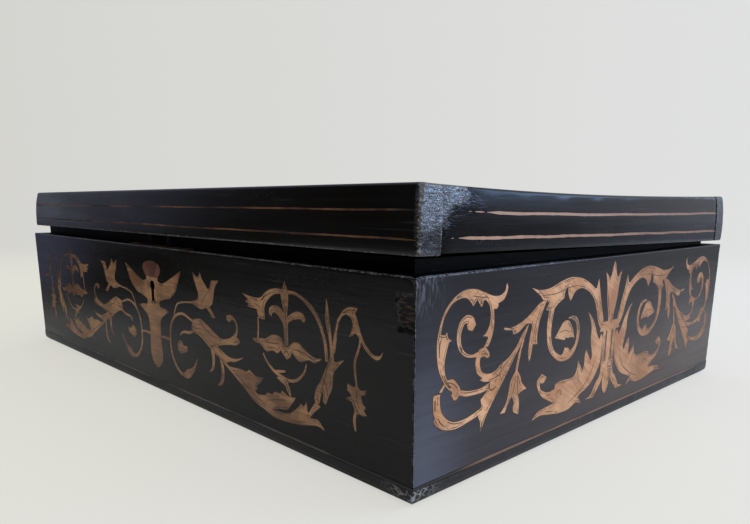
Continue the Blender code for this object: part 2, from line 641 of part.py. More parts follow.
def build_lid(lid_frame):
    ends = (-LID_HALF_LENGTH, LID_HALF_LENGTH)
    runs = {
        "front": [front_rail_station(x) for x in ends],
        "back": [back_rail_station(x) for x in ends],
    }
    start = LID_FRONT + RAIL_WIDTH + JOINT_GAP
    stop = LID_BACK - RAIL_WIDTH - JOINT_GAP
    for name, sign in (("right", 1), ("left", -1)):
        runs[name] = [end_rail_station(sign, y) for y in depth_stations(start, stop)]
    for name, stations in runs.items():
        leans = LID_FRONT_LEAN if name == "front" else 0.0
        rings = [rail_ring(place, low, high, leans) for place, low, high in stations]
        add_object(f"lid_{name}_rail", loft(rings), "ebonised", lid_frame)
        for label, share in zip(("lower", "upper"), LID_STRING_SHARES):
            rings = [string_ring(place, low, high, share, leans) for place, low, high in stations]
            add_object(f"lid_{name}_{label}_string", loft(rings), "string", lid_frame)

    inner_x = LID_HALF_LENGTH - RAIL_WIDTH - JOINT_GAP
    below_veneer = -TOP_VENEER_THICKNESS - KERF
    panel_under = below_veneer - PANEL_THICKNESS
    cupped_sheet("lid_panel", inner_x, start, stop, panel_under, below_veneer, "carcase", lid_frame)
    lining_top = panel_under - JOINT_GAP
    lining_under = lining_top - LID_LINING_THICKNESS
    cupped_sheet("lid_lining", inner_x, start, stop, lining_under, lining_top, "felt", lid_frame)
    build_lid_top(lid_frame)


def cupped_sheet(name, half_x, front, back, low, high, look, parent):
    """A sheet that follows the lid's cupped top, between two depths below it."""
    rings = []
    for y in depth_stations(front, back):
        ring = []
        for x, offset in ((-half_x, low), (half_x, low), (half_x, high), (-half_x, high)):
            ring.append((x, y, UNDERSIDE + lid_height(x, y) + offset))
        rings.append(ring)
    return add_object(name, loft(rings), look, parent)


def frame_sheet(half_x, front, back, width, low, high):
    """A closed frame of one width that follows the lid's cupped top."""
    made = bmesh.new()
    outer, inner = [], []
    columns = depth_stations(front, back)
    inner_columns = depth_stations(front + width, back - width)
    for x_sign, order in ((1, 1), (-1, -1)):
        for y, inner_y in list(zip(columns, inner_columns))[::order]:
            outer.append((x_sign * half_x, y))
            inner.append((x_sign * (half_x - width), inner_y))

    def row(points, offset):
        return [made.verts.new((x, y, UNDERSIDE + lid_height(x, y) + offset)) for x, y in points]

    rows = [row(outer, low), row(outer, high), row(inner, high), row(inner, low)]
    count = len(outer)
    for near, far in zip(rows, rows[1:] + rows[:1]):
        for i in range(count):
            j = (i + 1) % count
            made.faces.new((near[i], near[j], far[j], far[i]))
    return made


def build_lid_top(lid_frame):
    top_x = LID_HALF_LENGTH - LID_EDGE_RADIUS
    front = LID_FRONT + LID_FRONT_LEAN + LID_EDGE_RADIUS
    back = LID_BACK - LID_EDGE_RADIUS
    sheet = cupped_sheet(
        "lid_top_veneer", top_x, front, back, -TOP_VENEER_THICKNESS, 0.0, "ebonised", lid_frame
    )
    half_x = LID_HALF_LENGTH - BORDER_INSET
    border_front = LID_FRONT + BORDER_INSET
    border_back = LID_BACK - BORDER_INSET
    depth = TOP_VENEER_THICKNESS / 2
    groove_width = BORDER_WIDTH + 2 * KERF
    groove_ends = (border_front - KERF, border_back + KERF)
    groove = frame_sheet(half_x + KERF, *groove_ends, groove_width, -depth - KERF, OVERRUN)
    cut(sheet, add_cutter("border_groove", groove, lid_frame))
    ring = frame_sheet(half_x, border_front, border_back, BORDER_WIDTH, -depth, 0.0)
    add_object("lid_border_string", ring, "string", lid_frame)


def hinge_leaf_outline(fingers):
    """A leaf seen from above: a plate with fingers that reach its own knuckles."""
    half = HINGE_LENGTH / 2
    inner = HALF_WIDTH - HINGE_LEAF_DEPTH - AXIS_Y
    outer = -HINGE_KNUCKLE_RADIUS - JOINT_GAP
    tip = -HINGE_PIN_RADIUS - HINGE_PIN_CLEARANCE
    outline = [(half, inner), (half, outer)]
    for start, end in fingers[::-1]:
        outline += [(end, outer), (end, tip), (start, tip), (start, outer)]
    outline += [(-half, outer), (-half, inner)]
    clean = []
    for point in outline:
        if not clean or (Vector(point) - Vector(clean[-1])).length > KERF:
            clean.append(point)
    return clean


def build_hinge_leaf(name, fingers, low, high, frame):
    leaf = add_object(name, prism(hinge_leaf_outline(fingers), low, high), "brass", frame)
    for i, (start, end) in enumerate(fingers):
        knuckle = cylinder(HINGE_KNUCKLE_RADIUS, start, end)
        cut(leaf, add_cutter(f"{name}_knuckle_{i}", knuckle, frame), "UNION")
    bore = cylinder(HINGE_PIN_RADIUS + HINGE_PIN_CLEARANCE, -HINGE_LENGTH, HINGE_LENGTH)
    cut(leaf, add_cutter(f"{name}_bore", bore, frame))


def build_hinges(lid_frame):
    """Three knuckles a hinge: the outer two belong to the case's leaf, the middle one to the lid's."""
    knuckle = (HINGE_LENGTH - 2 * JOINT_GAP) / 3
    half = HINGE_LENGTH / 2
    outer_fingers = [(-half, -half + knuckle), (half - knuckle, half)]
    middle_fingers = [(-knuckle / 2, knuckle / 2)]
    space = HINGE_LEAF_SPACE / 2
    upper = (space, space + HINGE_LEAF_THICKNESS)
    lower = (-upper[1], -upper[0])
    for side, sign in (("left", -1), ("right", 1)):
        x = sign * (HALF_LENGTH - HINGE_INSET)
        place = Matrix.Translation((x, AXIS_Y, AXIS_HEIGHT))
        case_frame = add_empty(f"{side}_hinge_frame", place)
        build_hinge_leaf(f"{side}_hinge_lower_leaf", outer_fingers, *lower, case_frame)
        pin = pin_with_heads(half, half + HINGE_PIN_HEAD)
        add_object(f"{side}_hinge_pin", pin, "brass", case_frame)
        moving_frame = add_empty(f"{side}_hinge_lid_frame", Matrix.Identity(4))
        moving_frame.parent = lid_frame
        moving_frame.location = (x, 0, 0)
        build_hinge_leaf(f"{side}_hinge_upper_leaf", middle_fingers, *upper, moving_frame)

        mortise = HINGE_LENGTH / 2 + JOINT_GAP
        inner = -HINGE_LEAF_DEPTH - JOINT_GAP + HALF_WIDTH - AXIS_Y
        seat = block((-mortise, inner, lower[0] - JOINT_GAP), (mortise, OVERRUN, 0.0))
        seat = add_cutter(f"{side}_hinge_seat", seat, case_frame)
        for name in ("back_wall", "back_veneer"):
            cut(bpy.data.objects[name], seat)
        seat = block((-mortise, inner, 0.0), (mortise, OVERRUN, upper[1] + JOINT_GAP))
        seat = add_cutter(f"{side}_hinge_lid_seat", seat, moving_frame)
        cut(bpy.data.objects["lid_back_rail"], seat)


def pin_with_heads(half, end):
    """A pin whose ends are peened over the outer knuckles."""
    gap = JOINT_GAP
    head = HINGE_PIN_RADIUS + HINGE_PIN_HEAD
    stations = (
        (-end - gap, head),
        (-half - gap, head),
        (-half - gap, HINGE_PIN_RADIUS),
        (half + gap, HINGE_PIN_RADIUS),
        (half + gap, head),
        (end + gap, head),
    )
    rings = []
    for x, radius in stations:
        angles = [math.tau * i / KNUCKLE_SIDES for i in range(KNUCKLE_SIDES)]
        rings.append([(x, radius * math.cos(a), radius * math.sin(a)) for a in angles])
    return loft(rings)


def keyhole_outline(grow):
    """A round eye over a straight slot, with Y up from the foot of the slope."""
    sides = 14
    radius = KEYHOLE_RADIUS + grow
    half = KEYHOLE_SLOT_WIDTH / 2 + grow
    opening = math.asin(half / radius)
    outline = []
    for i in range(sides + 1):
        angle = -math.pi / 2 + opening + (math.tau - 2 * opening) * i / sides
        outline.append((radius * math.cos(angle), KEYHOLE_HEIGHT + radius * math.sin(angle)))
    foot = KEYHOLE_HEIGHT - KEYHOLE_SLOT_DROP - grow
    outline += [(-half, foot), (half, foot)]
    return outline


def build_lock(front_frame, lid_frame):
    """A mortised lock: X along the front, Y up the slope, Z out of the face."""
    rim = SLOPE_LENGTH
    plate_foot = rim - LOCK_PLATE_THICKNESS
    case_top = plate_foot - JOINT_GAP
    case_foot = rim - LOCK_DROP
    face = -LOCK_SETBACK
    room_face = face - LOCK_SHEET
    room_back = room_face - LOCK_ROOM
    half = LOCK_HALF_LENGTH
    wall = bpy.data.objects["front_wall"]
    pocket = block(
        (-half - JOINT_GAP, case_foot - JOINT_GAP, -WALL_INNER - OVERRUN),
        (half + JOINT_GAP, rim + OVERRUN, face + JOINT_GAP),
    )
    cut(wall, add_cutter("lock_pocket", pocket, front_frame))
    plate_half = half + LOCK_PLATE_OVERHANG
    rebate = block(
        (-plate_half - JOINT_GAP, plate_foot - JOINT_GAP, -WALL_INNER - OVERRUN),
        (plate_half + JOINT_GAP, rim + OVERRUN, face + JOINT_GAP),
    )
    cut(wall, add_cutter("lock_plate_rebate", rebate, front_frame))

    slots = hook_slots()
    plate_back = -WALL_INNER + JOINT_GAP
    plate = block((-plate_half, plate_foot, plate_back), (plate_half, rim, face))
    plate = add_object("lock_plate", plate, "brass", front_frame)
    slot_cutters = []
    for i, (start, end) in enumerate(slots):
        slot = block((start, case_foot + 2 * OVERRUN, room_back), (end, rim + OVERRUN, room_face))
        slot_cutters.append(add_cutter(f"hook_slot_{i}", slot, front_frame))
        cut(plate, slot_cutters[-1])

    tray = add_object(
        "lock_case", block((-half, case_foot, room_back), (half, case_top, face)), "iron", front_frame
    )
    room = block(
        (-half + LOCK_SHEET, case_foot + LOCK_SHEET, room_back - OVERRUN),
        (half - LOCK_SHEET, case_top - LOCK_SHEET, room_face),
    )
    cut(tray, add_cutter("lock_room", room, front_frame))
    for cutter in slot_cutters:
        cut(tray, cutter)
    cover_face = room_back - KERF
    cover = block((-half, case_foot, cover_face - LOCK_SHEET), (half, case_top, cover_face))
    add_object("lock_cover", cover, "iron", front_frame)

    keyhole = add_cutter(
        "keyhole", prism(keyhole_outline(0.0), room_face - LOCK_SHEET, OVERRUN), front_frame
    )
    for target in (bpy.data.objects["front_veneer"], wall, tray):
        cut(target, keyhole)
    wide = prism(keyhole_outline(KERF), -LOCK_SETBACK, OVERRUN)
    wide_keyhole = add_cutter("inlay_keyhole", wide, front_frame)
    cut(bpy.data.objects["front_marquetry"], wide_keyhole)
    build_bolt(front_frame, rim, room_face)
    build_link_plate(lid_frame)


def hook_centres():
    return (-HOOK_SPREAD / 2, HOOK_SPREAD / 2)


def hook_slots():
    """Where along the front each hook passes, with room for its nose."""
    room = 2 * JOINT_GAP
    half = HOOK_SHANK / 2
    return [(x - half - HOOK_NOSE - room, x + half + room) for x in hook_centres()]


def build_bolt(front_frame, rim, room_face):
    """A bar with two beaks that slide over the noses of the hooks."""
    middle = room_face - LOCK_ROOM / 2
    low, high = middle - BOLT_THICKNESS / 2, middle + BOLT_THICKNESS / 2
    nose_top = rim - HOOK_REACH + HOOK_NOSE_HEIGHT
    beak_foot = nose_top + JOINT_GAP
    bar_top = rim - BOLT_BAR_DROP
    bar_foot = bar_top - BOLT_BAR_HEIGHT
    beak_top = beak_foot + HOOK_NOSE_HEIGHT / 2
    outline = []
    post = HOOK_SHANK
    bar_end = hook_centres()[1] + HOOK_SHANK / 2
    for x in hook_centres():
        nose = x - HOOK_SHANK / 2 - HOOK_NOSE
        post_end = nose - BEAK_CLEARANCE - BOLT_TRAVEL
        tip = nose - BEAK_CLEARANCE
        outline += [
            (post_end - post, bar_top),
            (post_end - post, beak_top),
            (tip, beak_top),
            (tip, beak_foot),
            (post_end, beak_foot),
            (post_end, bar_top),
        ]
    outline = outline[1:]
    outline += [(bar_end, bar_top), (bar_end, bar_foot)]
    talon = -BOLT_TRAVEL / 2
    notch_top = bar_foot + TALON_DEPTH
    for sign, height in ((1, bar_foot), (1, notch_top), (-1, notch_top), (-1, bar_foot)):
        outline.append((talon + sign * TALON_WIDTH / 2, height))
    outline.append((-BOLT_START, bar_foot))
    add_object("lock_bolt", prism(outline, low, high), "iron", front_frame)


def build_link_plate(lid_frame):
    """A plate let into the front rail, with two hooks that reach down into the lock."""
    hook_y = LID_FRONT + RAIL_WIDTH / 2 - LINK_PLATE_WIDTH / 8
    low_y, high_y = hook_y - LINK_PLATE_WIDTH / 2, hook_y + LINK_PLATE_WIDTH / 2
    half = LINK_PLATE_LENGTH / 2
    foot = UNDERSIDE - rail_hang(-half)
    top = foot + LINK_PLATE_THICKNESS
    seat = block(
        (-half - JOINT_GAP, low_y - JOINT_GAP, foot - OVERRUN),
        (half + JOINT_GAP, high_y + JOINT_GAP, top + JOINT_GAP),
    )
    cut(bpy.data.objects["lid_front_rail"], add_cutter("link_seat", seat, lid_frame))
    plate = add_object(
        "lock_link_plate", block((-half, low_y, foot), (half, high_y, top)), "brass", lid_frame
    )
    tip = foot - (tilt_height(hook_y, foot) - CASE_HEIGHT) - HOOK_REACH
    shank = HOOK_SHANK / 2
    root = (foot + top) / 2
    for i, x in enumerate(hook_centres()):
        nose_top = tip + HOOK_NOSE_HEIGHT
        outline = [
            (x + shank, root),
            (x - shank, root),
            (x - shank, nose_top),
            (x - shank - HOOK_NOSE, nose_top),
            (x - shank - HOOK_NOSE, tip),
            (x + shank, tip),
        ]
        rings = []
        for y in (hook_y - HOOK_THICKNESS / 2, hook_y + HOOK_THICKNESS / 2):
            rings.append([(px, y, pz) for px, pz in outline])
        cut(plate, add_cutter(f"hook_{i}", loft(rings), lid_frame), "UNION")


def main():
    clear_scene()
    turn = Matrix.Rotation(-LID_AJAR, 4, "X")
    lid_frame = add_empty("lid_frame", Matrix.Translation((0, AXIS_Y, AXIS_HEIGHT)) @ turn)
    frames = {side: add_empty(side + "_frame", side_frame(side)) for side in ("front", "right", "left")}
    bpy.context.view_layer.update()
    build_case()
    build_marquetry(frames)
    build_lid(lid_frame)
    build_hinges(lid_frame)
    build_lock(frames["front"], lid_frame)


main()
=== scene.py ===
"""An antique ebonised box with inlaid scrollwork and a hinged lid, dressed over its CAD frame."""

import math

import bmesh
import bpy
from mathutils import Matrix, Vector, noise
from mathutils.bvhtree import BVHTree
from mathutils.geometry import delaunay_2d_cdt


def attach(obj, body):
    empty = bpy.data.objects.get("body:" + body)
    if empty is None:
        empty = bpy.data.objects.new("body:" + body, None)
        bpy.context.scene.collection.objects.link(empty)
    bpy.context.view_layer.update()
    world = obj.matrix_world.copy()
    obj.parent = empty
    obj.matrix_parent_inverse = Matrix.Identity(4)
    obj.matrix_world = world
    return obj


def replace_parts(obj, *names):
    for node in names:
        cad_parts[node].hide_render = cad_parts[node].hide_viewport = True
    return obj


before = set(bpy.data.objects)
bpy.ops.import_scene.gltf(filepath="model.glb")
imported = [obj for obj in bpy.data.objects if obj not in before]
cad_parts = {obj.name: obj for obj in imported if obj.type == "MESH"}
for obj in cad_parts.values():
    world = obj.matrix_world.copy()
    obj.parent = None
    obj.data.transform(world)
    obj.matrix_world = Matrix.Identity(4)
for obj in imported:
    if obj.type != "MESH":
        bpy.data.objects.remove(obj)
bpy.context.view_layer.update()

# Sizes of the case, as in the part's source, in metres
HALF_LENGTH = 0.1547
HALF_WIDTH = 0.11125
CASE_HEIGHT = 0.064
SIDE_LEAN = 0.0031
SLOPE_LENGTH = math.hypot(CASE_HEIGHT, SIDE_LEAN)
VENEER_THICKNESS = 0.0016
VENEER_FOOT = 0.0057
WALL_FOOT = 0.0048
KERF = 0.00015
AXIS_Y = 0.11405
AXIS_HEIGHT = 0.0649
LID_AJAR = math.radians(1.04)
LID_HALF_LENGTH = 0.1544
SIDE_TURNS = {"front": 0.0, "right": 0.25, "back": 0.5, "left": 0.75}

# The camera, fitted to the photograph
CAMERA_PLACE = (0.2681, -0.23505, 0.0835)
CAMERA_FOOT = (0.2681, -0.23505, 0.0)
CAMERA_AZIMUTH = math.radians(46.09)
CAMERA_ELEVATION = math.radians(5.23)
CAMERA_ROLL = math.radians(-0.36)
CAMERA_LENS = 31.30

# The room
DIM_WAY = (-0.69, -0.72, 0.05)
DIM_SPREAD = (0.70, 0.90)
NEAR_WAY = (0.30, -0.95, 0.05)
NEAR_SPREAD = (0.04, 0.185)
BRIGHT_WAY = (0.62, 0.40, 0.67)
BRIGHT_SPREAD = (-0.2, 0.9)
ROOM_LOW = (0.27, 0.285, 0.35)
ROOM_HIGH = (0.86, 0.89, 0.96)
ROOM_DIM = (0.033, 0.029, 0.023)
ROOM_LEFT = (0.125, 0.135, 0.190)
ROOM_FAR = (0.26, 0.27, 0.31)
RIGHTWARDS = (0.693, 0.721, 0.0)
BACKDROP_SPREAD = (-0.5, 0.5)
BACKDROP_LEFT = (0.665, 0.66, 0.63)
BACKDROP_RIGHT = (0.745, 0.755, 0.75)
FLOOR_HALF = 3.0
FLOOR_HEIGHT = -0.0002
FLOOR_LOW = (0.80, 0.775, 0.70)
FLOOR_HIGH = (0.84, 0.815, 0.745)
FLOOR_GLOW = 0.66
GLOW_LEFT = (0.875, 0.855, 0.750)
GLOW_RIGHT = (0.90, 0.90, 0.885)
TABLE_EDGE = (0.10, 0.34)
FAR_FLOOR = (0.38, 0.75)
FADING_FLOOR = (0.42, 1.1)


WRINKLE_DEPTH = 0.00042
WRINKLE_SHINE = 1.25


class Graph:
    """Short ways to add nodes to one node tree."""

    def __init__(self, tree):
        self.tree = tree

    def add(self, kind, **settings):
        made = self.tree.nodes.new(kind)
        for name, value in settings.items():
            setattr(made, name, value)
        return made

    def feed(self, socket, value):
        if isinstance(value, bpy.types.NodeSocket):
            self.tree.links.new(value, socket)
        elif socket.type == "RGBA":
            socket.default_value = (*value[:3], 1)
        else:
            socket.default_value = value

    def math(self, operation, a, b=0.0, c=0.0, clamp=False):
        made = self.add("ShaderNodeMath", operation=operation, use_clamp=clamp)
        for socket, value in zip(made.inputs, (a, b, c)):
            self.feed(socket, value)
        return made.outputs[0]

    def vector_math(self, operation, a, b):
        made = self.add("ShaderNodeVectorMath", operation=operation)
        self.feed(made.inputs[0], a)
        self.feed(made.inputs[1], b)
        return made.outputs["Value" if operation in ("DOT_PRODUCT", "LENGTH") else "Vector"]

    def map_range(self, value, low, high, to_low=0.0, to_high=1.0, kind="SMOOTHSTEP"):
        made = self.add("ShaderNodeMapRange", interpolation_type=kind)
        for name, number in (
            ("Value", value),
            ("From Min", low),
            ("From Max", high),
            ("To Min", to_low),
            ("To Max", to_high),
        ):
            self.feed(made.inputs[name], number)
        return made.outputs["Result"]

    def mix_colour(self, share, a, b, blend="MIX"):
        made = self.add("ShaderNodeMix", data_type="RGBA", blend_type=blend)
        self.feed(made.inputs[0], share)
        self.feed(made.inputs[6], a)
        self.feed(made.inputs[7], b)
        return made.outputs[2]

    def grey(self, value):
        made = self.add("ShaderNodeCombineXYZ")
        for socket in made.inputs:
            self.feed(socket, value)
        return made.outputs[0]

    def mix_shader(self, share, a, b):
        made = self.add("ShaderNodeMixShader")
        self.feed(made.inputs[0], share)
        self.feed(made.inputs[1], a.outputs[0])
        self.feed(made.inputs[2], b.outputs[0])
        return made

    def stretched(self, place, scale, shift=(0, 0, 0)):
        made = self.add("ShaderNodeMapping")
        self.feed(made.inputs["Vector"], place)
        made.inputs["Scale"].default_value = scale
        made.inputs["Location"].default_value = shift
        return made.outputs[0]

    def noise(self, place, scale, detail=2.0, roughness=0.5, distortion=0.0):
        made = self.add("ShaderNodeTexNoise")
        self.feed(made.inputs["Vector"], place)
        for name, number in (
            ("Scale", scale),
            ("Detail", detail),
            ("Roughness", roughness),
            ("Distortion", distortion),
        ):
            made.inputs[name].default_value = number
        return made.outputs["Fac"]

    def voronoi(self, place, scale, feature="F1", output="Distance"):
        made = self.add("ShaderNodeTexVoronoi", feature=feature)
        self.feed(made.inputs["Vector"], place)
        made.inputs["Scale"].default_value = scale
        return made.outputs[output]

    def bump(self, height, strength, distance, normal=None):
        made = self.add("ShaderNodeBump")
        made.inputs["Strength"].default_value = strength
        made.inputs["Distance"].default_value = distance
        self.feed(made.inputs["Height"], height)
        if normal:
            self.feed(made.inputs["Normal"], normal)
        return made.outputs[0]

    def parts(self, place):
        made = self.add("ShaderNodeSeparateXYZ")
        self.feed(made.inputs[0], place)
        return made.outputs


class Finish(Graph):
    """One Principled material and the places its patterns are laid out on."""

    def __init__(self, name, **fixed):
        self.material = bpy.data.materials.new(name)
        self.material.use_nodes = True
        super().__init__(self.material.node_tree)
        self.shader = self.tree.nodes["Principled BSDF"]
        for key, value in fixed.items():
            self.shader.inputs[key.replace("_", " ")].default_value = value
        self.place = self.add("ShaderNodeTexCoord").outputs["Object"]

    def faded(self, colour, tint):
        """Tinted towards the back of the box, where the polish is cloudier."""
        far = self.map_range(self.parts(self.place)[1], -0.07, 0.08)
        return self.mix_colour(far, colour, self.mix_colour(1.0, colour, tint, blend="MULTIPLY"))

    def set(self, **sockets):
        for key, value in sockets.items():
            self.feed(self.shader.inputs[key.replace("_", " ")], value)
        return self.material


def along_scale(axis, along, across):
    """Noise scales for a grain that runs along one axis."""
    return tuple(along if i == axis else across for i in range(3))


def ebony(name, axis, low, high, gloss=(0.26, 0.46), dust=0.5, wear=None, wrinkle=None, bloom_and_sheen=None, shine=0.5, shift=0.0):
    """Blackened polished wood: grain, fine scratches, dust and rubbed places."""
    look = Finish(name)
    place = look.stretched(look.place, (1, 1, 1), (shift, shift, shift))
    grain = look.noise(look.stretched(place, along_scale(axis, 14, 420)), 1, 4, 0.62)
    cloud = look.noise(place, 16, 3)
    tone = look.math("ADD", look.math("MULTIPLY", grain, 0.6), look.math("MULTIPLY", cloud, 0.4))
    colour = look.mix_colour(look.map_range(tone, 0.34, 0.66), low, high)
    scratch = look.noise(look.stretched(place, along_scale(axis, 30, 1500)), 1, 2, 0.5)
    scratch = look.map_range(scratch, 0.62, 0.70)
    few = look.map_range(look.noise(place, 38, 2), 0.42, 0.7)
    scratch = look.math("MULTIPLY", scratch, few)
    colour = look.mix_colour(look.math("MULTIPLY", scratch, 0.35), colour, (0.06, 0.06, 0.066))
    speck = look.voronoi(place, 1150)
    speck = look.map_range(speck, 0.24, 0.12)
    thick = look.map_range(look.noise(look.stretched(place, along_scale(axis, 30, 60)), 1, 3), 0.46, 0.72)
    speck = look.math("MULTIPLY", look.math("MULTIPLY", speck, thick), dust)
    colour = look.mix_colour(speck, colour, (0.20, 0.20, 0.22))
    smear = look.noise(look.stretched(place, along_scale(axis, 9, 55)), 1, 4, 0.6, 0.3)
    rough = look.map_range(smear, 0.3, 0.72, gloss[0], gloss[1])
    rough = look.math("ADD", rough, look.math("MULTIPLY", speck, 0.3))
    height = look.math("ADD", look.math("MULTIPLY", grain, 0.7), look.math("MULTIPLY", cloud, 0.6))
    normal = look.bump(height, 0.22, 0.0004)
    dents = look.noise(place, 210, 3)
    normal = look.bump(dents, 0.10, 0.0003, normal)
    shines = shine
    # where given, a bloom on the polish and painted reflection are added to the colour
    if bloom_and_sheen:
        colour = look.mix_colour(1.0, colour, bloom_and_sheen(look, tone), blend="ADD")
    if wrinkle:
        share = wrinkle(look, place)
        folds = look.noise(look.stretched(place, (420, 420, 1150)), 1, 3, 0.6, 0.8)
        fine = look.noise(look.stretched(place, (1500, 1500, 2300)), 1, 2, 0.6)
        folds = look.math("ADD", folds, look.math("MULTIPLY", fine, 0.22))
        folds = look.math("MULTIPLY", folds, share)
        normal = look.bump(folds, 1.0, WRINKLE_DEPTH, normal)
        rough = look.math("MULTIPLY", rough, look.math("SUBTRACT", 1.0, look.math("MULTIPLY", share, 0.45)))
        ridge = look.map_range(folds, 0.30, 0.62)
        dull = look.math("MULTIPLY", shine, look.math("SUBTRACT", 1.0, look.math("MULTIPLY", share, 0.65)))
        shines = look.math("ADD", dull, look.math("MULTIPLY", look.math("MULTIPLY", share, ridge), WRINKLE_SHINE))
    if wear:
        bare, tint = wear(look, place)
        colour = look.mix_colour(bare, colour, tint)
        rough = look.math("ADD", rough, look.math("MULTIPLY", bare, 0.35))
    return look.set(Base_Color=colour, Roughness=rough, Normal=normal, Specular_IOR_Level=shines)


def inlaid(name, axis, low, high, crack=0.8, gloss=(0.3, 0.5), turn=(0.0, 0.0, 0.0), fade=None, shine=0.5, veil=None):
    """Pale wood let into the black: grain, dark crackle and rubbed-in polish."""
    look = Finish(name)
    mapped = look.add("ShaderNodeMapping")
    look.feed(mapped.inputs["Vector"], look.place)
    mapped.inputs["Rotation"].default_value = turn
    place = mapped.outputs[0]
    grain = look.noise(look.stretched(place, along_scale(axis, 60, 900)), 1, 4, 0.6)
    cloud = look.noise(place, 70, 3)
    tone = look.math("ADD", look.math("MULTIPLY", grain, 0.38), look.math("MULTIPLY", cloud, 0.62))
    colour = look.mix_colour(look.map_range(tone, 0.36, 0.64), low, high)
    cells = look.voronoi(look.stretched(place, along_scale(axis, 420, 800)), 1, "DISTANCE_TO_EDGE")
    lines = look.map_range(cells, 0.06, 0.0)
    where = look.map_range(look.noise(place, 80, 3), 0.56, 0.70)
    lines = look.math("MULTIPLY", look.math("MULTIPLY", lines, where), crack)
    pits = look.math("MULTIPLY", look.map_range(look.voronoi(place, 900), 0.2, 0.1), 0.35)
    dark = look.math("MAXIMUM", lines, pits)
    colour = look.mix_colour(dark, colour, (0.035, 0.022, 0.016))
    stain = look.map_range(look.noise(place, 34, 3), 0.5, 0.74)
    colour = look.mix_colour(look.math("MULTIPLY", stain, 0.6), colour, tuple(0.35 * c for c in low))
    if fade:
        colour = look.faded(colour, fade)
    if veil:
        share, tint = veil(look)
        colour = look.mix_colour(share, colour, tint)
    rough = look.map_range(cloud, 0.3, 0.7, *gloss)
    height = look.math("SUBTRACT", look.math("MULTIPLY", grain, 0.3), dark)
    normal = look.bump(height, 0.3, 0.0002)
    return look.set(Base_Color=colour, Roughness=rough, Normal=normal, Specular_IOR_Level=shine)


def string_finish(name, axis, low, high, broken=(0.4, 0.62), seed=0.0, fade=None, lost=None):
    """A thin light string, darkened where polish or loss covers it."""
    look = Finish(name)
    place = look.stretched(look.place, (1, 1, 1), (seed, seed, seed))
    run = look.noise(look.stretched(place, along_scale(axis, 26, 120)), 1, 4, 0.65)
    gone = look.map_range(run, *broken)
    if lost:
        gone = look.math("MAXIMUM", gone, look.map_range(look.parts(look.place)[1], *lost))
    grain = look.noise(look.stretched(place, along_scale(axis, 200, 1600)), 1, 3)
    colour = look.mix_colour(grain, low, high)
    colour = look.mix_colour(gone, colour, (0.018, 0.014, 0.012))
    if fade:
        colour = look.faded(colour, fade)
    rough = look.map_range(grain, 0.3, 0.7, 0.32, 0.5)
    normal = look.bump(grain, 0.2, 0.0002)
    return look.set(Base_Color=colour, Roughness=rough, Normal=normal)


def bare_wood(name, axis, low, high, gloss=(0.45, 0.65), gap_shade_above=None):
    """Plain brown board with figure, pores and a thin old finish; above a height, where given, painted near-black and
    dull as shade in the gap under the lid.
    """
    look = Finish(name)
    rings = look.noise(look.stretched(look.place, along_scale(axis, 9, 150)), 1, 5, 0.6, 0.6)
    fine = look.noise(look.stretched(look.place, along_scale(axis, 40, 1900)), 1, 3)
    tone = look.math("ADD", look.math("MULTIPLY", rings, 0.7), look.math("MULTIPLY", fine, 0.3))
    colour = look.mix_colour(look.map_range(tone, 0.32, 0.68), low, high)
    pores = look.map_range(look.noise(look.stretched(look.place, along_scale(axis, 110, 2600)), 1, 1), 0.64, 0.72)
    colour = look.mix_colour(look.math("MULTIPLY", pores, 0.7), colour, tuple(0.3 * c for c in low))
    height = look.math("SUBTRACT", tone, pores)
    # painted shade: above this height the board is made near-black and less shiny, so the gap under the lid reads dark
    if gap_shade_above:
        level = look.math("ADD", look.parts(look.place)[2], look.math("MULTIPLY", rings, 0.0008))
        gap_shade = look.map_range(level, gap_shade_above, gap_shade_above + 0.0004)
        colour = look.mix_colour(gap_shade, colour, (0.002, 0.0018, 0.0017))
        shine = look.math("SUBTRACT", 0.5, look.math("MULTIPLY", gap_shade, 0.45))
        look.set(Specular_IOR_Level=shine)
    return look.set(
        Base_Color=colour,
        Roughness=look.map_range(rings, 0.3, 0.7, *gloss),
        Normal=look.bump(height, 0.25, 0.0003),
    )


def velvet(name, low, high):
    """Short worn pile."""
    look = Finish(name, Sheen_Weight=0.6, Sheen_Roughness=0.4)
    look.shader.inputs["Sheen Tint"].default_value = (0.9, 0.45, 0.42, 1)
    pile = look.noise(look.place, 1800, 2)
    crush = look.noise(look.place, 30, 4, 0.6, 0.4)
    tone = look.math("ADD", look.math("MULTIPLY", pile, 0.4), look.math("MULTIPLY", crush, 0.6))
    colour = look.mix_colour(look.map_range(tone, 0.3, 0.7), low, high)
    lint = look.map_range(look.voronoi(look.place, 260), 0.10, 0.05)
    colour = look.mix_colour(look.math("MULTIPLY", lint, 0.25), colour, (0.4, 0.3, 0.28))
    normal = look.bump(tone, 0.5, 0.0006)
    return look.set(Base_Color=colour, Roughness=look.map_range(crush, 0.3, 0.7, 0.85, 1.0), Normal=normal)


def old_metal(name, clean, dull, gloss=(0.25, 0.55), lines_axis=0):
    """Tarnished metal with brushed lines and darker spots."""
    look = Finish(name, Metallic=1.0)
    spots = look.noise(look.place, 130, 4, 0.65)
    brush = look.noise(look.stretched(look.place, along_scale(lines_axis, 90, 2400)), 1, 2)
    colour = look.mix_colour(look.map_range(spots, 0.38, 0.66), clean, dull)
    rough = look.map_range(spots, 0.35, 0.65, *gloss)
    rough = look.math("ADD", rough, look.math("MULTIPLY", brush, 0.1))
    height = look.math("ADD", look.math("MULTIPLY", brush, 0.4), spots)
    return look.set(Base_Color=colour, Roughness=rough, Normal=look.bump(height, 0.25, 0.0002))


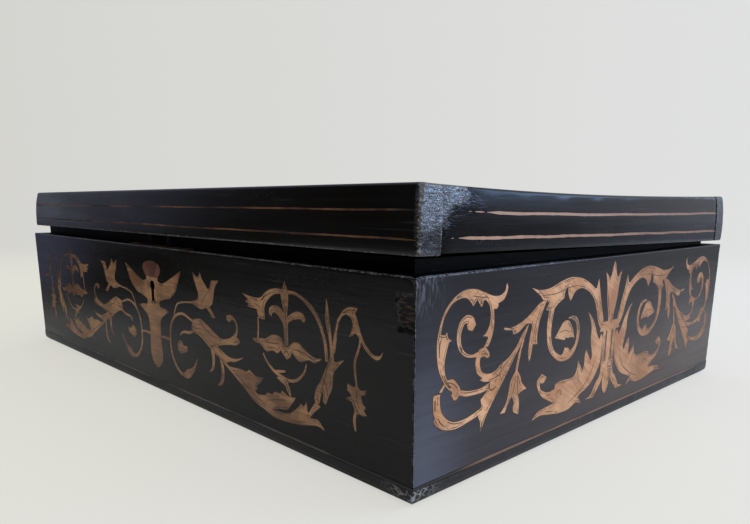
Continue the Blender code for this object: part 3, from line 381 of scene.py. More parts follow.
# The ornament is drawn on squares: 64 up a side's slope, and this many along half of its length.
# A leaf is a closed outline. A stem is its half-widths, spread evenly along it, then its points.
# Points are squares in from the side's end and up. A centre's are squares from the middle and up.
DRAWING_ROWS = 64
DRAWING_COLUMNS = {"front": 154.7, "right": 111.2, "left": 111.2}
END_LEAVES = (
    ((41.2, 59.4), (40.4, 56.9), (37.5, 55.8), (33.7, 56.3), (29.8, 57.7), (26, 58.8), (21.4, 59), (17.2, 57.7),
     (13.7, 55.2), (11.6, 52.1), (10.5, 48.6), (9.9, 45.2), (10.2, 41.3), (11.2, 37.5), (13.1, 34.2),
     (15.4, 31.5), (18.4, 29.6), (19.4, 30.8), (16.2, 32.7), (14.3, 35.3), (13.5, 38.6), (14.1, 42.1),
     (15, 44.8), (16.2, 45.2), (14.7, 45.9), (13.9, 47.8), (13.2, 47), (11.2, 47.4), (11.7, 50), (12.9, 52.8),
     (15.2, 55.3), (18.3, 56.7), (21.4, 56.8), (23.7, 55.5), (25.1, 54), (26.4, 55.3), (27, 55.8),
     (28.3, 54.2), (29.2, 53.3), (30, 55.2), (31, 55.2), (32.9, 53.6), (33.9, 50.9), (33.8, 47.8),
     (32.2, 45.2), (30.6, 44.4), (32.9, 44), (33.3, 43.4), (31.4, 40.9), (33.5, 40.9), (35.1, 43.6),
     (35.8, 47.8), (35.2, 52.1), (36.8, 52), (37.5, 52.8), (37.3, 53.6), (40.2, 54.6), (41.8, 57.1), (41.8, 58.4)),
    ((28.1, 38.5), (24.1, 39), (20.6, 40.9), (18.7, 44), (18.5, 47.5), (19.7, 50.2), (22.5, 51.6), (25.4, 50.7),
     (26.8, 48.4), (25.4, 46.7), (23.5, 47.3), (22.9, 48.4), (23, 49.4), (21.4, 49.2), (20.2, 46.9),
     (20.4, 43.6), (22.3, 40.9), (25.6, 39.5), (29.1, 40)),
    ((28.1, 38.4), (29.3, 40.5), (32.2, 40.9), (34.3, 38.8), (34.4, 37.7), (33.5, 37.4), (31.4, 38.2), (30.2, 38)),
    ((28.1, 38.6), (27.8, 36.5), (28.9, 33.4), (31.6, 31.5), (30.5, 31), (32.9, 30.1), (36.8, 29.8), (41, 30.5),
     (41.8, 34.6), (38.3, 32.7), (34.5, 32.2), (31, 33.6), (29.8, 36.5), (30.2, 38.4)),
    ((34.8, 27.1), (32.2, 25.3), (31.4, 24.8), (32.2, 22.7), (30.8, 20.7), (30.6, 19.8), (31.8, 17.8), (32.2, 14.8),
     (33.1, 16.3), (34.7, 19.2), (36.8, 21.9), (40.6, 26.3), (44.5, 30.9), (47.9, 35.2), (50.8, 38.8),
     (53.7, 43.4), (54.8, 45), (51.4, 42.1), (49.1, 39), (46.8, 37.1), (44.5, 35.5), (39.8, 33.5),
     (38, 30.3), (36, 29.6), (34.8, 29.2)),
    ((54.8, 44.8), (52.5, 39.4), (51.2, 35.5), (50.2, 31.3), (50.2, 30.2), (48.9, 30.2), (49.5, 33.2), (50.6, 37.4),
     (53, 43.4)),
    ((48.9, 30.2), (46.6, 27.5), (45.8, 23.6), (44.7, 20.5), (42, 18), (44.5, 17.8), (46.6, 21.3), (47.6, 22.6),
     (48.7, 21.3), (49.5, 19.8), (48.9, 18.6), (49.5, 16.9), (52.2, 15.6), (52.2, 19.4), (51.2, 22.5),
     (53.7, 23.2), (56, 23.5), (53.1, 25.9), (52, 28.2), (50.2, 30.2)),
    ((41.2, 45.5), (45.2, 45), (50.2, 46), (55.2, 48), (59.8, 50.7), (62, 51.5), (64.8, 51.7), (62.4, 48), (60.8, 44.5),
     (60.2, 40), (60.6, 37.6), (58.9, 37.8), (57.9, 38.2), (57.3, 34.4), (56.5, 32.4), (55.6, 35.5), (56, 40.2),
     (56.8, 44), (56.4, 45), (53.3, 45.2), (49.5, 43.2), (46.4, 42.8), (45.6, 44.2), (41.8, 44.8)),
    ((15, 33.8), (17.9, 33.6), (20.4, 31.3), (21.2, 30), (20.8, 28.4), (19.9, 27.4), (18.6, 27.3), (17.4, 29),
     (17.8, 29.9), (17, 30.4), (15.4, 31.9)),
    ((20.8, 28.4), (21.2, 29.8), (25.6, 28.7), (31, 28.4), (36, 29.4), (36, 27.4), (30.6, 27), (24.8, 27.3), (22.5, 27.8)),
    ((13.9, 33), (14.3, 32.4), (12.9, 30.7), (11.9, 31)),
    ((9.7, 30.5), (9.5, 29), (10, 25.2), (10.8, 23.8), (10.2, 23), (11.8, 21.1), (15.2, 19.3), (20.2, 18.5),
     (25.6, 19.2), (30.8, 20.3), (32, 22.2), (29.5, 21.5), (24.5, 20.5), (19.3, 20.7), (15.4, 22.7),
     (13.1, 25.5), (12.3, 29), (12.5, 30.3)),
    ((55.4, 56.6), (60, 55.5), (66.4, 55.6), (72.8, 57.2), (79.6, 58.2), (86.8, 57.4), (92.8, 55.2), (97.2, 52.8),
     (98.4, 53), (99.6, 56.2), (100.8, 52.4), (102.4, 48), (104.4, 42.8), (105.4, 40.2), (105.6, 37.4),
     (103.6, 37.4), (101.2, 40.4), (99.8, 44), (98, 47.6), (95.2, 50.6), (91.2, 52.8), (87.2, 53.9), (83.2, 53.2),
     (80.8, 50.8), (80, 50), (78.4, 52.4), (77.8, 55.3), (76.2, 54), (75.6, 51.4), (72.6, 50.2), (69.2, 48.2),
     (66, 48.2), (64.6, 48.6), (66.2, 50.6), (65.2, 51.6), (62.6, 52), (60.4, 53.8)),
    ((66.8, 48.4), (66, 43.6), (66.5, 38.8), (68, 34.8), (71.6, 31.4), (76.4, 29.1), (82, 29.2), (85.6, 31.4),
     (87.8, 35.6), (87.6, 40), (85.4, 43.5), (81.6, 44.4), (79.6, 43.9), (82.4, 43.4), (85.2, 41.6), (86.2, 38),
     (85.4, 34), (82.6, 31.8), (80.4, 33.4), (79.6, 33.2), (78.6, 33.8), (77.6, 31.6), (75.6, 31.4), (71.2, 34),
     (69, 38.4), (68.8, 43.6), (69.8, 48.4)),
    ((71.6, 38), (74.2, 40.8), (76.8, 43), (80, 42.9), (82.8, 40), (84.6, 36.4), (81.6, 37), (80, 36.8), (79, 37.4),
     (78, 36.4), (75.6, 37)),
    ((93.4, 44.4), (96.8, 42), (99.6, 38.4), (102, 34.4), (103.6, 32.8), (104.6, 34.8), (106, 33.8), (106.4, 28.8),
     (105.6, 24), (102.4, 19.6), (98.4, 16.4), (92, 14.2), (90.4, 13.4), (93.4, 10.4), (89.2, 11.6), (84.4, 10.2),
     (78, 10.2), (71.6, 11.1), (65.6, 12), (60.6, 11.4), (64, 13.6), (70, 14.3), (74, 14.6), (70, 16.4),
     (65.6, 18.8), (62.4, 22.8), (62.3, 24.8), (64.8, 26.6), (68, 25), (66.4, 23.4), (63.9, 23.6), (64.8, 21.2),
     (69.2, 19.4), (73.6, 19.6), (74, 21.2), (77.6, 21.9), (85.6, 21.6), (88.4, 24.4), (88.6, 27.4), (90.8, 24.8),
     (92.4, 22.8), (93.4, 24.8), (93.4, 28.4), (94.2, 30.4), (96.4, 27.6), (97.8, 25.8), (98.8, 27.6),
     (97, 33.6), (96.8, 38.4), (94.8, 42.8)),
)
END_CENTRE_LEAVES = (
    ((0, 62), (1.1, 60), (1.8, 57.5), (3.2, 55.4), (4.8, 57), (6.4, 58.2), (5.2, 54.8), (4.6, 52), (4.2, 48.8),
     (3.6, 46.4), (3, 44.4), (2.2, 42), (1.6, 39), (-0.1, 38)),
    ((-0.1, 39.2), (7.6, 39.2), (7.2, 37.6), (7.6, 35.7), (-0.1, 35.7)),
    ((-0.1, 23.6), (4.9, 23.6), (4.7, 22), (4.9, 20.2), (-0.1, 20.2)),
    ((-0.1, 23.4), (1.8, 23.4), (1.8, 36), (-0.1, 36)),
    ((2.7, 35.9), (2.7, 23.4), (4.3, 23.4), (4.5, 29), (5, 35.9)),
    ((14.9, 11.2), (11.3, 12), (9.6, 14), (7.2, 16.8), (5.7, 17.8), (4.6, 20.4), (2, 20.4), (3, 17), (5, 14.6),
     (7.4, 12.4), (9.5, 10.9)),
    ((-0.1, 20.4), (1.6, 20.4), (2.4, 18), (2.6, 15), (1.6, 12), (-0.1, 10.4)),
)
END_STEMS = ()
END_LINES = (
    ((0.12, 0.16, 0.1), ((11.8, 23.6), (13.2, 21.8), (14.8, 20.5))),
    ((0.1, 0.14, 0.1), ((15.4, 33.2), (17.6, 32.4), (20, 30.8))),
    ((0.16, 0.2, 0.16), ((35.2, 29.4), (35.4, 27.5), (36.8, 26.8), (39, 27.5))),
    ((0.1, 0.18, 0.1), ((11.3, 41), (11, 44), (11.8, 46.8))),
    ((0.1, 0.14, 0.05), ((40, 31), (43.5, 34), (47, 36.2))),
    ((0.1, 0.16, 0.05), ((58, 39.5), (59, 44.5), (61.5, 49.5))),
    ((0.1, 0.14, 0.05), ((49.4, 29), (49, 26), (48, 22.8))),
    ((0.1, 0.14, 0.05), ((50.2, 28.5), (50.8, 25.5), (51, 22.6))),
    ((0.1, 0.16, 0.1), ((75, 17.2), (76.6, 18.6), (78.4, 18.2), (78, 16.6))),
    ((0.1, 0.18, 0.05), ((84, 12.6), (92, 15.8), (98.6, 20.4), (102, 27))),
    ((0.1, 0.14, 0.05), ((88.8, 23.6), (90, 20), (92.6, 17.6))),
    ((0.1, 0.14, 0.05), ((93.4, 24.6), (95.4, 21.6))),
    ((0.1, 0.16, 0.05), ((62, 53.6), (70, 53.4), (79, 54.8), (88, 55))),
    ((0.08, 0.12, 0.05), ((21, 48.4), (21.8, 48.8), (22.4, 48.4))),
    ((0.1, 0.13, 0.05), ((25, 56.9), (28, 56.4), (31.4, 55.8))),
    ((0.1, 0.12, 0.05), ((74, 39.4), (78, 39.8), (82, 38.6))),
)
FRONT_LEAVES = (
    ((24.3, 30.5), (25.5, 29.4), (28.3, 29.8), (28.5, 28), (27.2, 27.2), (26.6, 26.4), (29, 25.3), (26.6, 24.9),
     (25.4, 22.4), (24.6, 21.2), (23.8, 22), (22.4, 21.6), (20.3, 22), (21.5, 23), (20.8, 24.4), (22, 25.3),
     (22.8, 27.6), (21, 28.2), (20.2, 29.5), (22.4, 29), (23.4, 29.4)),
    ((31, 49.8), (28.8, 52.1), (26, 53.2), (22.9, 53.2), (24, 51.6), (23.2, 50), (22.5, 48), (21.6, 45.6),
     (19.6, 42.6), (16.6, 40.6), (14, 40.9), (12.8, 42.2), (14, 40.1), (16.2, 39.5), (19.8, 41.4), (22.4, 44.6),
     (24, 46), (25.4, 45.1), (26.8, 44.4), (25.4, 46.6), (25, 48.4), (25.8, 50.2), (28, 51), (30.4, 49.4),
     (31.7, 46.5), (32.6, 42.6), (33.6, 38.5), (34.6, 38), (34.3, 41.4), (33, 45.8), (32.2, 48.4)),
    ((36.7, 54.6), (37.3, 50), (37.4, 47.6), (36.2, 42.6), (35.8, 38.5), (36.2, 35.6), (38.4, 32.4), (40.8, 28.3),
     (43.4, 25), (44.5, 21.6), (43.6, 20.4), (42.2, 20.6), (41.3, 23), (40.3, 26), (39.9, 24), (40.1, 21.8),
     (39, 21), (37.4, 24), (35.6, 27), (34.7, 31.8), (32, 34.6), (29.6, 36.8), (33.2, 35.4), (34.2, 35.8),
     (34.7, 41), (35.6, 47.5), (36.2, 52.5)),
    ((44, 20.6), (46.6, 17.6), (49, 14.9), (47.4, 14.9), (44.8, 17.2), (41.6, 19.6)),
    ((37, 35), (37.3, 40), (38.8, 44.6), (41, 48.6), (44.5, 51.8), (49, 54.1), (53, 55), (56.4, 55), (57.8, 58),
     (59, 55), (62.4, 55.1), (66, 54.4), (69, 53), (72, 51), (76, 50.6), (83.2, 51.3), (79.6, 49.5), (81.5, 48.8),
     (79.6, 48), (80, 47), (77, 46.8), (74.6, 46.8), (73.6, 44), (71.8, 43.6), (70, 43.8), (69.9, 47.6),
     (68.5, 50), (64.6, 52.7), (60.2, 53.7), (59.4, 50), (58.5, 46.9), (59.4, 47.6), (60.6, 48.6), (62.6, 49.2),
     (65, 49), (66.9, 47.9), (67.2, 46.1), (66, 45.4), (65.2, 46.6), (63.4, 46.8), (61.4, 45.6), (59.9, 44.2),
     (59.2, 42.4), (59, 36.6), (57.3, 36.6), (57, 43), (56.4, 44.6), (54.4, 45.6), (51.8, 46.3), (49.6, 46.4),
     (48.4, 45.6), (47.5, 46.6), (48.6, 48.2), (51.2, 48.7), (53.8, 48), (56, 46.8), (57.3, 46.3), (56.4, 50),
     (56, 53.9), (53, 54.1), (48, 52.4), (42.9, 48.6), (40, 44.2), (38.6, 39.6), (38.3, 35)),
    ((78, 35.8), (73, 36.6), (70, 37), (67.5, 38.3), (65, 39.1), (62, 39), (60.3, 37.8), (59.4, 36.4), (57.5, 36),
     (54.4, 38), (51.5, 38.3), (47.5, 36.2), (43.5, 35), (40, 35.2), (43.5, 33.5), (46.5, 33.8), (50.5, 32.6),
     (52.5, 32.9), (55.4, 34.9), (56.4, 33), (58.4, 31.9), (60.2, 33.4), (61.5, 34.6), (63.5, 33.1), (66, 33.6),
     (70, 32.8), (73, 34.6), (76.3, 35)),
    ((64.6, 24.6), (60.4, 25.4), (57.4, 25.2), (58.4, 23.6), (57.2, 21.4), (57, 19.4), (58.6, 20.6), (59.8, 22.6),
     (62, 23.4)),
    ((40, 12.4), (43, 14.8), (46, 14.6), (48, 14.8), (48.4, 17), (48.6, 19.6), (50.2, 17.5), (51.8, 18.3),
     (52.6, 17.2), (55, 15.4), (58, 13.5), (62, 12.7), (68.5, 12.6), (63.4, 13.9), (59.5, 14.6), (56.8, 17),
     (54.4, 19.6), (58.5, 19.3), (61.9, 20.5), (62.6, 19.2), (66.5, 19), (67.6, 17.9), (70.6, 17.8), (72, 16.7),
     (76.6, 16), (78.5, 17), (76.8, 18), (77.8, 19), (75.4, 20.2), (72.6, 22.7), (77, 22.2), (81.3, 23.7),
     (83.4, 22.8), (88, 23), (94, 22.6), (97, 23.6), (94, 24.6), (90.5, 25.1), (84.6, 27.6), (90.6, 26.2),
     (96, 26.4), (104, 29.2), (108, 28.6), (104.8, 26), (101, 24.6), (97, 22.4), (92, 20), (84, 15.8), (79, 13),
     (73, 11.5), (68, 10.2), (62, 10.1), (52, 11.2), (44, 12.9)),
    ((101.4, 24.9), (99.2, 23), (98.6, 20), (99, 17), (100.6, 14.5), (103.8, 13.4), (101.4, 16), (100.5, 20)),
    ((108, 28.4), (107, 24), (107.3, 20.4), (109.6, 17.6), (107, 18.6), (105.5, 21), (105, 24), (105.2, 27)),
    ((120.2, 36.9), (117, 37.5), (114, 37.7), (108, 35.5), (102, 33), (99, 32.2), (94, 33.2), (90.5, 35), (88.7, 37),
     (88.7, 39.4), (90, 40.8), (92, 40.4), (92.6, 39.6), (94.7, 40.2), (94.8, 41.6), (92.4, 42.2), (89.4, 41.4),
     (87.6, 39), (87.9, 36), (88.8, 34.7), (86.3, 33.2), (89, 31.6), (93, 31.1), (99, 30), (104.4, 28.6),
     (108, 27.4), (112, 29.4), (116, 31), (119.4, 31.7), (121.3, 31.6), (121.6, 34)),
    ((122, 43.9), (118, 44.6), (115.2, 45.6), (114.8, 48), (117, 52), (118.4, 56), (115.6, 54.3), (114, 54.3),
     (112.6, 56.2), (111.4, 54), (107.5, 50.3), (105.8, 50.8), (104.4, 53.8), (99.2, 54.2), (102, 51.6),
     (103.4, 48), (104.6, 45), (107, 43.6), (104.6, 41.4), (102.8, 40), (105, 39.6), (109, 42.8), (113.4, 41.9),
     (119.5, 43.2)),
    ((129.6, 24.6), (131, 26.4), (133, 26.2), (134.8, 24.6), (134.6, 22.4), (132.6, 20.8), (130.2, 21.6), (127, 22.6),
     (126.4, 24.8)),
    ((118, 21.6), (121, 18.6), (123.6, 16.4), (128.6, 14.7), (129, 14), (132.4, 12.2), (130, 11.2), (126.6, 11.6),
     (122.8, 14.4), (120.6, 17.4)),
)
FRONT_CENTRE_LEAVES = (
    ((-0.1, 51.6), (5.6, 51.4), (5.2, 49.6), (4.8, 46), (4.9, 43), (4.6, 40.3), (4.4, 39.4), (-0.1, 39.4),
     (-0.1, 40.1), (1.35, 40.1), (1.35, 45.1), (2.1, 46), (2.4, 47), (2.1, 48.2), (1.3, 49.1), (-0.1, 49.5)),
    ((4.6, 49.6), (9.2, 48.7), (14.7, 50.5), (20.7, 53), (26.4, 55.4), (24.4, 52), (22.7, 49), (20.7, 46.5),
     (17.7, 44.5), (15.2, 43), (11.7, 42.5), (7.7, 41.5), (4.4, 40.2), (4.2, 44), (4.4, 47)),
    ((-0.1, 40), (5.4, 40.4), (6, 38.4), (12.2, 37.8), (13.6, 37), (8.7, 34.8), (6.2, 33), (5.4, 31), (5.3, 24),
     (5.7, 18), (5.1, 15), (3.7, 13), (1.7, 11.4), (-0.1, 10.8)),
)
SHELL = ((-5.6, 51.2), (-7.4, 52.6), (-8.4, 54.6), (-7.2, 56.4), (-4.6, 57.4), (0, 57.9), (4.6, 57.4), (7.2, 56.4),
         (8.4, 54.6), (7.4, 52.6), (5.6, 51.2), (2, 50.8), (-2, 50.8))
FRONT_STEMS = (
    ((0.3, 0.45, 0.5, 0.4), ((22, 45), (22.6, 42), (24.6, 37.6), (24.8, 34.4), (24.3, 30.2))),
    ((0.5, 0.6, 0.3), ((25.2, 22), (25.8, 19), (25.4, 16))),
    ((0.35, 0.4, 0.35), ((74, 44), (74.2, 40), (74.8, 36.2))),
    ((0.3, 0.5, 0.55, 0.5, 0.6, 0.45, 0.3),
     ((47.8, 32.2), (49.4, 29), (53.4, 25.8), (58, 24.9), (64.6, 26), (69.4, 28.6), (72, 31.6))),
    ((0.3, 0.5, 0.3), ((59.4, 27.6), (63, 26.9), (66.6, 26.4))),
    ((0.5, 0.5, 0.55, 0.6, 0.7, 0.7, 0.7, 0.8, 0.7),
     ((120.8, 36.2), (124, 37), (128, 38), (132.6, 37.4), (136.6, 35.4), (139.8, 31.4), (140.9, 26), (140.4, 20),
      (137.6, 15.4), (133.6, 12.6), (129, 12))),
    ((0.6, 0.6, 0.55, 0.3), ((121, 32), (124, 31), (127.6, 30.7), (130.4, 30), (131.8, 28.6))),
    ((0.3, 0.4, 0.3), ((118.6, 43.8), (127, 43), (132.4, 41.8), (135, 39), (136.6, 35.6))),
    ((0.5, 0.5, 0.5), ((140.4, 25.4), (145, 25.6), (149.6, 25.4))),
)
FRONT_LINES = (
    ((0.1, 0.2, 0.1), ((40.6, 30), (38.4, 27.4), (37.8, 24.2))),
    ((0.1, 0.16, 0.1), ((37.2, 34.6), (38.6, 30), (40.6, 25.6))),
    ((0.1, 0.2, 0.1), ((57, 14.4), (62, 13.2), (68, 12.4))),
    ((0.1, 0.16, 0.05), ((72, 13), (80, 16), (90, 20.4), (98, 24))),
    ((0.1, 0.14, 0.05), ((60, 17.6), (66, 16.4), (72, 14.8))),
    ((0.1, 0.16, 0.05), ((62.6, 36.6), (67, 36), (73, 35.6))),
    ((0.1, 0.16, 0.05), ((55, 35.8), (51, 35.8), (45, 34.8))),
    ((0.15, 0.2, 0.15), ((56.6, 33.4), (58.4, 34.6), (60, 33.4))),
    ((0.1, 0.16, 0.05), ((117.8, 34.8), (114, 35.8), (108, 33), (100, 31.4))),
    ((0.1, 0.18, 0.1), ((121.2, 34), (118.6, 33.4), (115, 33.8))),
    ((0.1, 0.14, 0.05), ((113, 44), (110, 47), (104, 52))),
    ((0.1, 0.14, 0.05), ((57.7, 38), (57.9, 43), (57.9, 52))),
    ((0.1, 0.14, 0.05), ((72, 50), (68, 52.4), (63, 54))),
    ((0.1, 0.14, 0.05), ((76, 48.6), (72, 47.4), (70.6, 45.4))),
    ((0.1, 0.14, 0.05), ((24, 52.6), (27, 52.2), (29.6, 51))),
    ((0.14, 0.14, 0.1), ((24.2, 28.8), (24.6, 26), (23.4, 23.4))),
)


def make_camera():
    az, el, roll = CAMERA_AZIMUTH, CAMERA_ELEVATION, CAMERA_ROLL
    forward = Vector((-math.sin(az) * math.cos(el), math.cos(az) * math.cos(el), -math.sin(el)))
    right = Vector((math.cos(az), math.sin(az), 0))
    down = forward.cross(right)
    across = right * math.cos(roll) + down * math.sin(roll)
    up = right * math.sin(roll) - down * math.cos(roll)
    placed = Matrix((across, up, -forward)).transposed().to_4x4()
    placed.translation = CAMERA_PLACE
    data = bpy.data.cameras.new("camera")
    data.lens = CAMERA_LENS
    data.clip_start = 0.01
    made = bpy.data.objects.new("camera", data)
    made.matrix_world = placed
    bpy.context.scene.collection.objects.link(made)
    bpy.context.scene.camera = made


def make_area_light(name, place, aim, size, power, colour):
    data = bpy.data.lights.new(name, "AREA")
    data.shape = "RECTANGLE"
    data.size, data.size_y = size
    data.energy = power
    data.color = colour
    made = bpy.data.objects.new(name, data)
    made.location = place
    made.rotation_euler = (Vector(aim) - Vector(place)).to_track_quat("-Z", "Y").to_euler()
    bpy.context.scene.collection.objects.link(made)


def backdrop_colour(graph, way):
    """The pale wall behind, a little lighter towards the right."""
    share = graph.vector_math("DOT_PRODUCT", way, RIGHTWARDS)
    share = graph.map_range(share, *BACKDROP_SPREAD, kind="LINEAR")
    return graph.mix_colour(share, BACKDROP_LEFT, BACKDROP_RIGHT)


def dim_opening(graph, way):
    """What a reflection towards the front left sees: blue wall on the left, then a dark doorway."""
    near = graph.map_range(graph.vector_math("DOT_PRODUCT", way, NEAR_WAY), *NEAR_SPREAD)
    return graph.mix_colour(near, ROOM_LEFT, ROOM_DIM)


def make_world():
    """A pale room, brightest behind and to the right, with a dim opening towards the front left."""
    world = bpy.data.worlds.new("room")
    bpy.context.scene.world = world
    world.use_nodes = True
    tree = world.node_tree
    tree.nodes.clear()
    graph = Graph(tree)
    way = graph.add("ShaderNodeTexCoord").outputs["Generated"]
    dim = graph.vector_math("DOT_PRODUCT", way, DIM_WAY)
    dim = graph.map_range(dim, *DIM_SPREAD)
    bright = graph.vector_math("DOT_PRODUCT", way, BRIGHT_WAY)
    bright = graph.map_range(bright, *BRIGHT_SPREAD)
    colour = graph.mix_colour(bright, ROOM_LOW, ROOM_HIGH)
    colour = graph.mix_colour(dim, colour, dim_opening(graph, way))
    light = graph.add("ShaderNodeBackground")
    graph.feed(light.inputs["Color"], colour)
    seen = graph.add("ShaderNodeBackground")
    graph.feed(seen.inputs["Color"], backdrop_colour(graph, way))
    path = graph.add("ShaderNodeLightPath")
    mixed = graph.add("ShaderNodeMixShader")
    graph.feed(mixed.inputs[0], path.outputs["Is Camera Ray"])
    graph.feed(mixed.inputs[1], light.outputs[0])
    graph.feed(mixed.inputs[2], seen.outputs[0])
    out = graph.add("ShaderNodeOutputWorld")
    graph.feed(out.inputs["Surface"], mixed.outputs[0])


def make_floor():
    """A pale floor that reflections see only as far as the table's edge."""
    data = bmesh.new()
    bmesh.ops.create_grid(data, x_segments=1, y_segments=1, size=FLOOR_HALF)
    mesh = bpy.data.meshes.new("floor")
    data.to_mesh(mesh)
    data.free()
    floor = bpy.data.objects.new("floor", mesh)
    floor.location.z = FLOOR_HEIGHT
    bpy.context.scene.collection.objects.link(floor)
    look = bpy.data.materials.new("floor")
    look.use_nodes = True
    graph = Graph(look.node_tree)
    shader = look.node_tree.nodes["Principled BSDF"]
    shader.inputs["Roughness"].default_value = 0.6
    shader.inputs["Specular IOR Level"].default_value = 0.25
    place = graph.add("ShaderNodeTexCoord").outputs["Object"]
    fine = graph.noise(place, 160, 3)
    graph.feed(shader.inputs["Base Color"], graph.mix_colour(fine, FLOOR_LOW, FLOOR_HIGH))
    away = graph.vector_math("LENGTH", place, (0, 0, 0))
    dim = graph.map_range(graph.vector_math("DOT_PRODUCT", place, DIM_WAY), *TABLE_EDGE)
    gone = graph.math("MAXIMUM", dim, graph.map_range(away, *FAR_FLOOR))
    path = graph.add("ShaderNodeLightPath").outputs
    far = graph.add("ShaderNodeEmission")
    opening = dim_opening(graph, graph.vector_math("NORMALIZE", place, (0, 0, 0)))
    graph.feed(far.inputs["Color"], graph.mix_colour(dim, ROOM_FAR, opening))
    reflected = graph.mix_shader(graph.math("MULTIPLY", gone, path["Is Glossy Ray"]), shader, far)
    wall = graph.add("ShaderNodeEmission")
    way = graph.vector_math("NORMALIZE", graph.vector_math("SUBTRACT", place, CAMERA_FOOT), (0, 0, 0))
    graph.feed(wall.inputs["Color"], backdrop_colour(graph, way))
    fading = graph.map_range(away, *FADING_FLOOR)
    glow = graph.add("ShaderNodeEmission")
    share = graph.vector_math("DOT_PRODUCT", place, RIGHTWARDS)
    share = graph.map_range(share, -0.3, 0.3, kind="LINEAR")
    glows = graph.mix_colour(share, GLOW_LEFT, GLOW_RIGHT)
    cloth = graph.noise(graph.stretched(place, (30, 700, 1)), 1, 2)
    graph.feed(glow.inputs["Color"], graph.mix_colour(graph.math("MULTIPLY", cloth, 0.06), glows, (0.5, 0.5, 0.48)))
    lit = graph.mix_shader(graph.math("MULTIPLY", path["Is Camera Ray"], FLOOR_GLOW), reflected, glow)
    seen = graph.mix_shader(graph.math("MULTIPLY", fading, path["Is Camera Ray"]), lit, wall)
    graph.feed(look.node_tree.nodes["Material Output"].inputs["Surface"], seen.outputs[0])
    mesh.materials.append(look)


def side_frame(side):
    """X along the side, Y up its slope from the foot, Z out of its face."""
    turn = Matrix.Rotation(SIDE_TURNS[side] * math.tau, 3, "Z")
    along = turn @ Vector((1, 0, 0))
    outward = turn @ Vector((0, -1, 0))
    reach = HALF_WIDTH if side in ("front", "back") else HALF_LENGTH
    up = (outward * SIDE_LEAN + Vector((0, 0, CASE_HEIGHT))).normalized()
    placed = Matrix((along, up, along.cross(up))).transposed().to_4x4()
    placed.translation = outward * (reach - SIDE_LEAN)
    return placed


def add_piece(name, data, look, body, smooth=True):
    """Put a bmesh into the scene as a piece that rides on a CAD body."""
    bmesh.ops.recalc_face_normals(data, faces=data.faces)
    mesh = bpy.data.meshes.new(name)
    data.to_mesh(mesh)
    data.free()
    if smooth:
        mesh.shade_smooth()
        mesh.set_sharp_from_angle(angle=math.radians(35))
    mesh.materials.append(look)
    made = bpy.data.objects.new(name, mesh)
    bpy.context.scene.collection.objects.link(made)
    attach(made, body)
    return made


def dress(look, *names):
    """Give CAD nodes a material."""
    for name in names:
        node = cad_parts[name]
        node.data.materials.clear()
        node.data.materials.append(look)


# Veneers

ARRIS_RADIUS = 0.00055
RIM_RADIUS = 0.0004
PATCH = (0.1480, 0.1540, 0.0500, 0.0594)
PANEL = (-0.006, 0.006, 0.0385, 0.0545)
KEYHOLE_HEIGHT = SLOPE_LENGTH - 0.017
KEYHOLE_RADIUS = 0.0022
KEYHOLE_SLOT_HALF = 0.0012
KEYHOLE_FOOT = KEYHOLE_HEIGHT - 0.0067
PATCH_DEPTH = 0.0006


def spread(low, high, pitch):
    count = max(1, round((high - low) / pitch))
    return [low + (high - low) * i / count for i in range(count)]


def rim_drop(side, u, v):
    """How far the rim is worn down beside the near corner."""
    end = {"front": HALF_LENGTH - u, "right": HALF_WIDTH + u}.get(side, 1.0)
    near = max(0.0, 1 - end / 0.0045)
    high = max(0.0, 1 - (SLOPE_LENGTH - v) / 0.003)
    return (0.0013 * near**2 + 0.0002 * near * noise.noise(Vector((u, v, 1)) * 900)) * high


def arris_radius(side, end, height):
    """How far an upright corner is worn round, at a height."""
    place = Vector((end * 3.1 + SIDE_TURNS[side] * 0, height * 260, 7.7))
    radius = ARRIS_RADIUS + 0.00025 * noise.noise(place) + 0.0002 * noise.noise(place * 3.3)
    near = (side, end) in (("front", 1), ("right", -1))
    if near:
        top = max(0.0, 1 - (CASE_HEIGHT - height) / 0.0035)
        radius += 0.0022 * top**2
    return max(0.0002, radius)


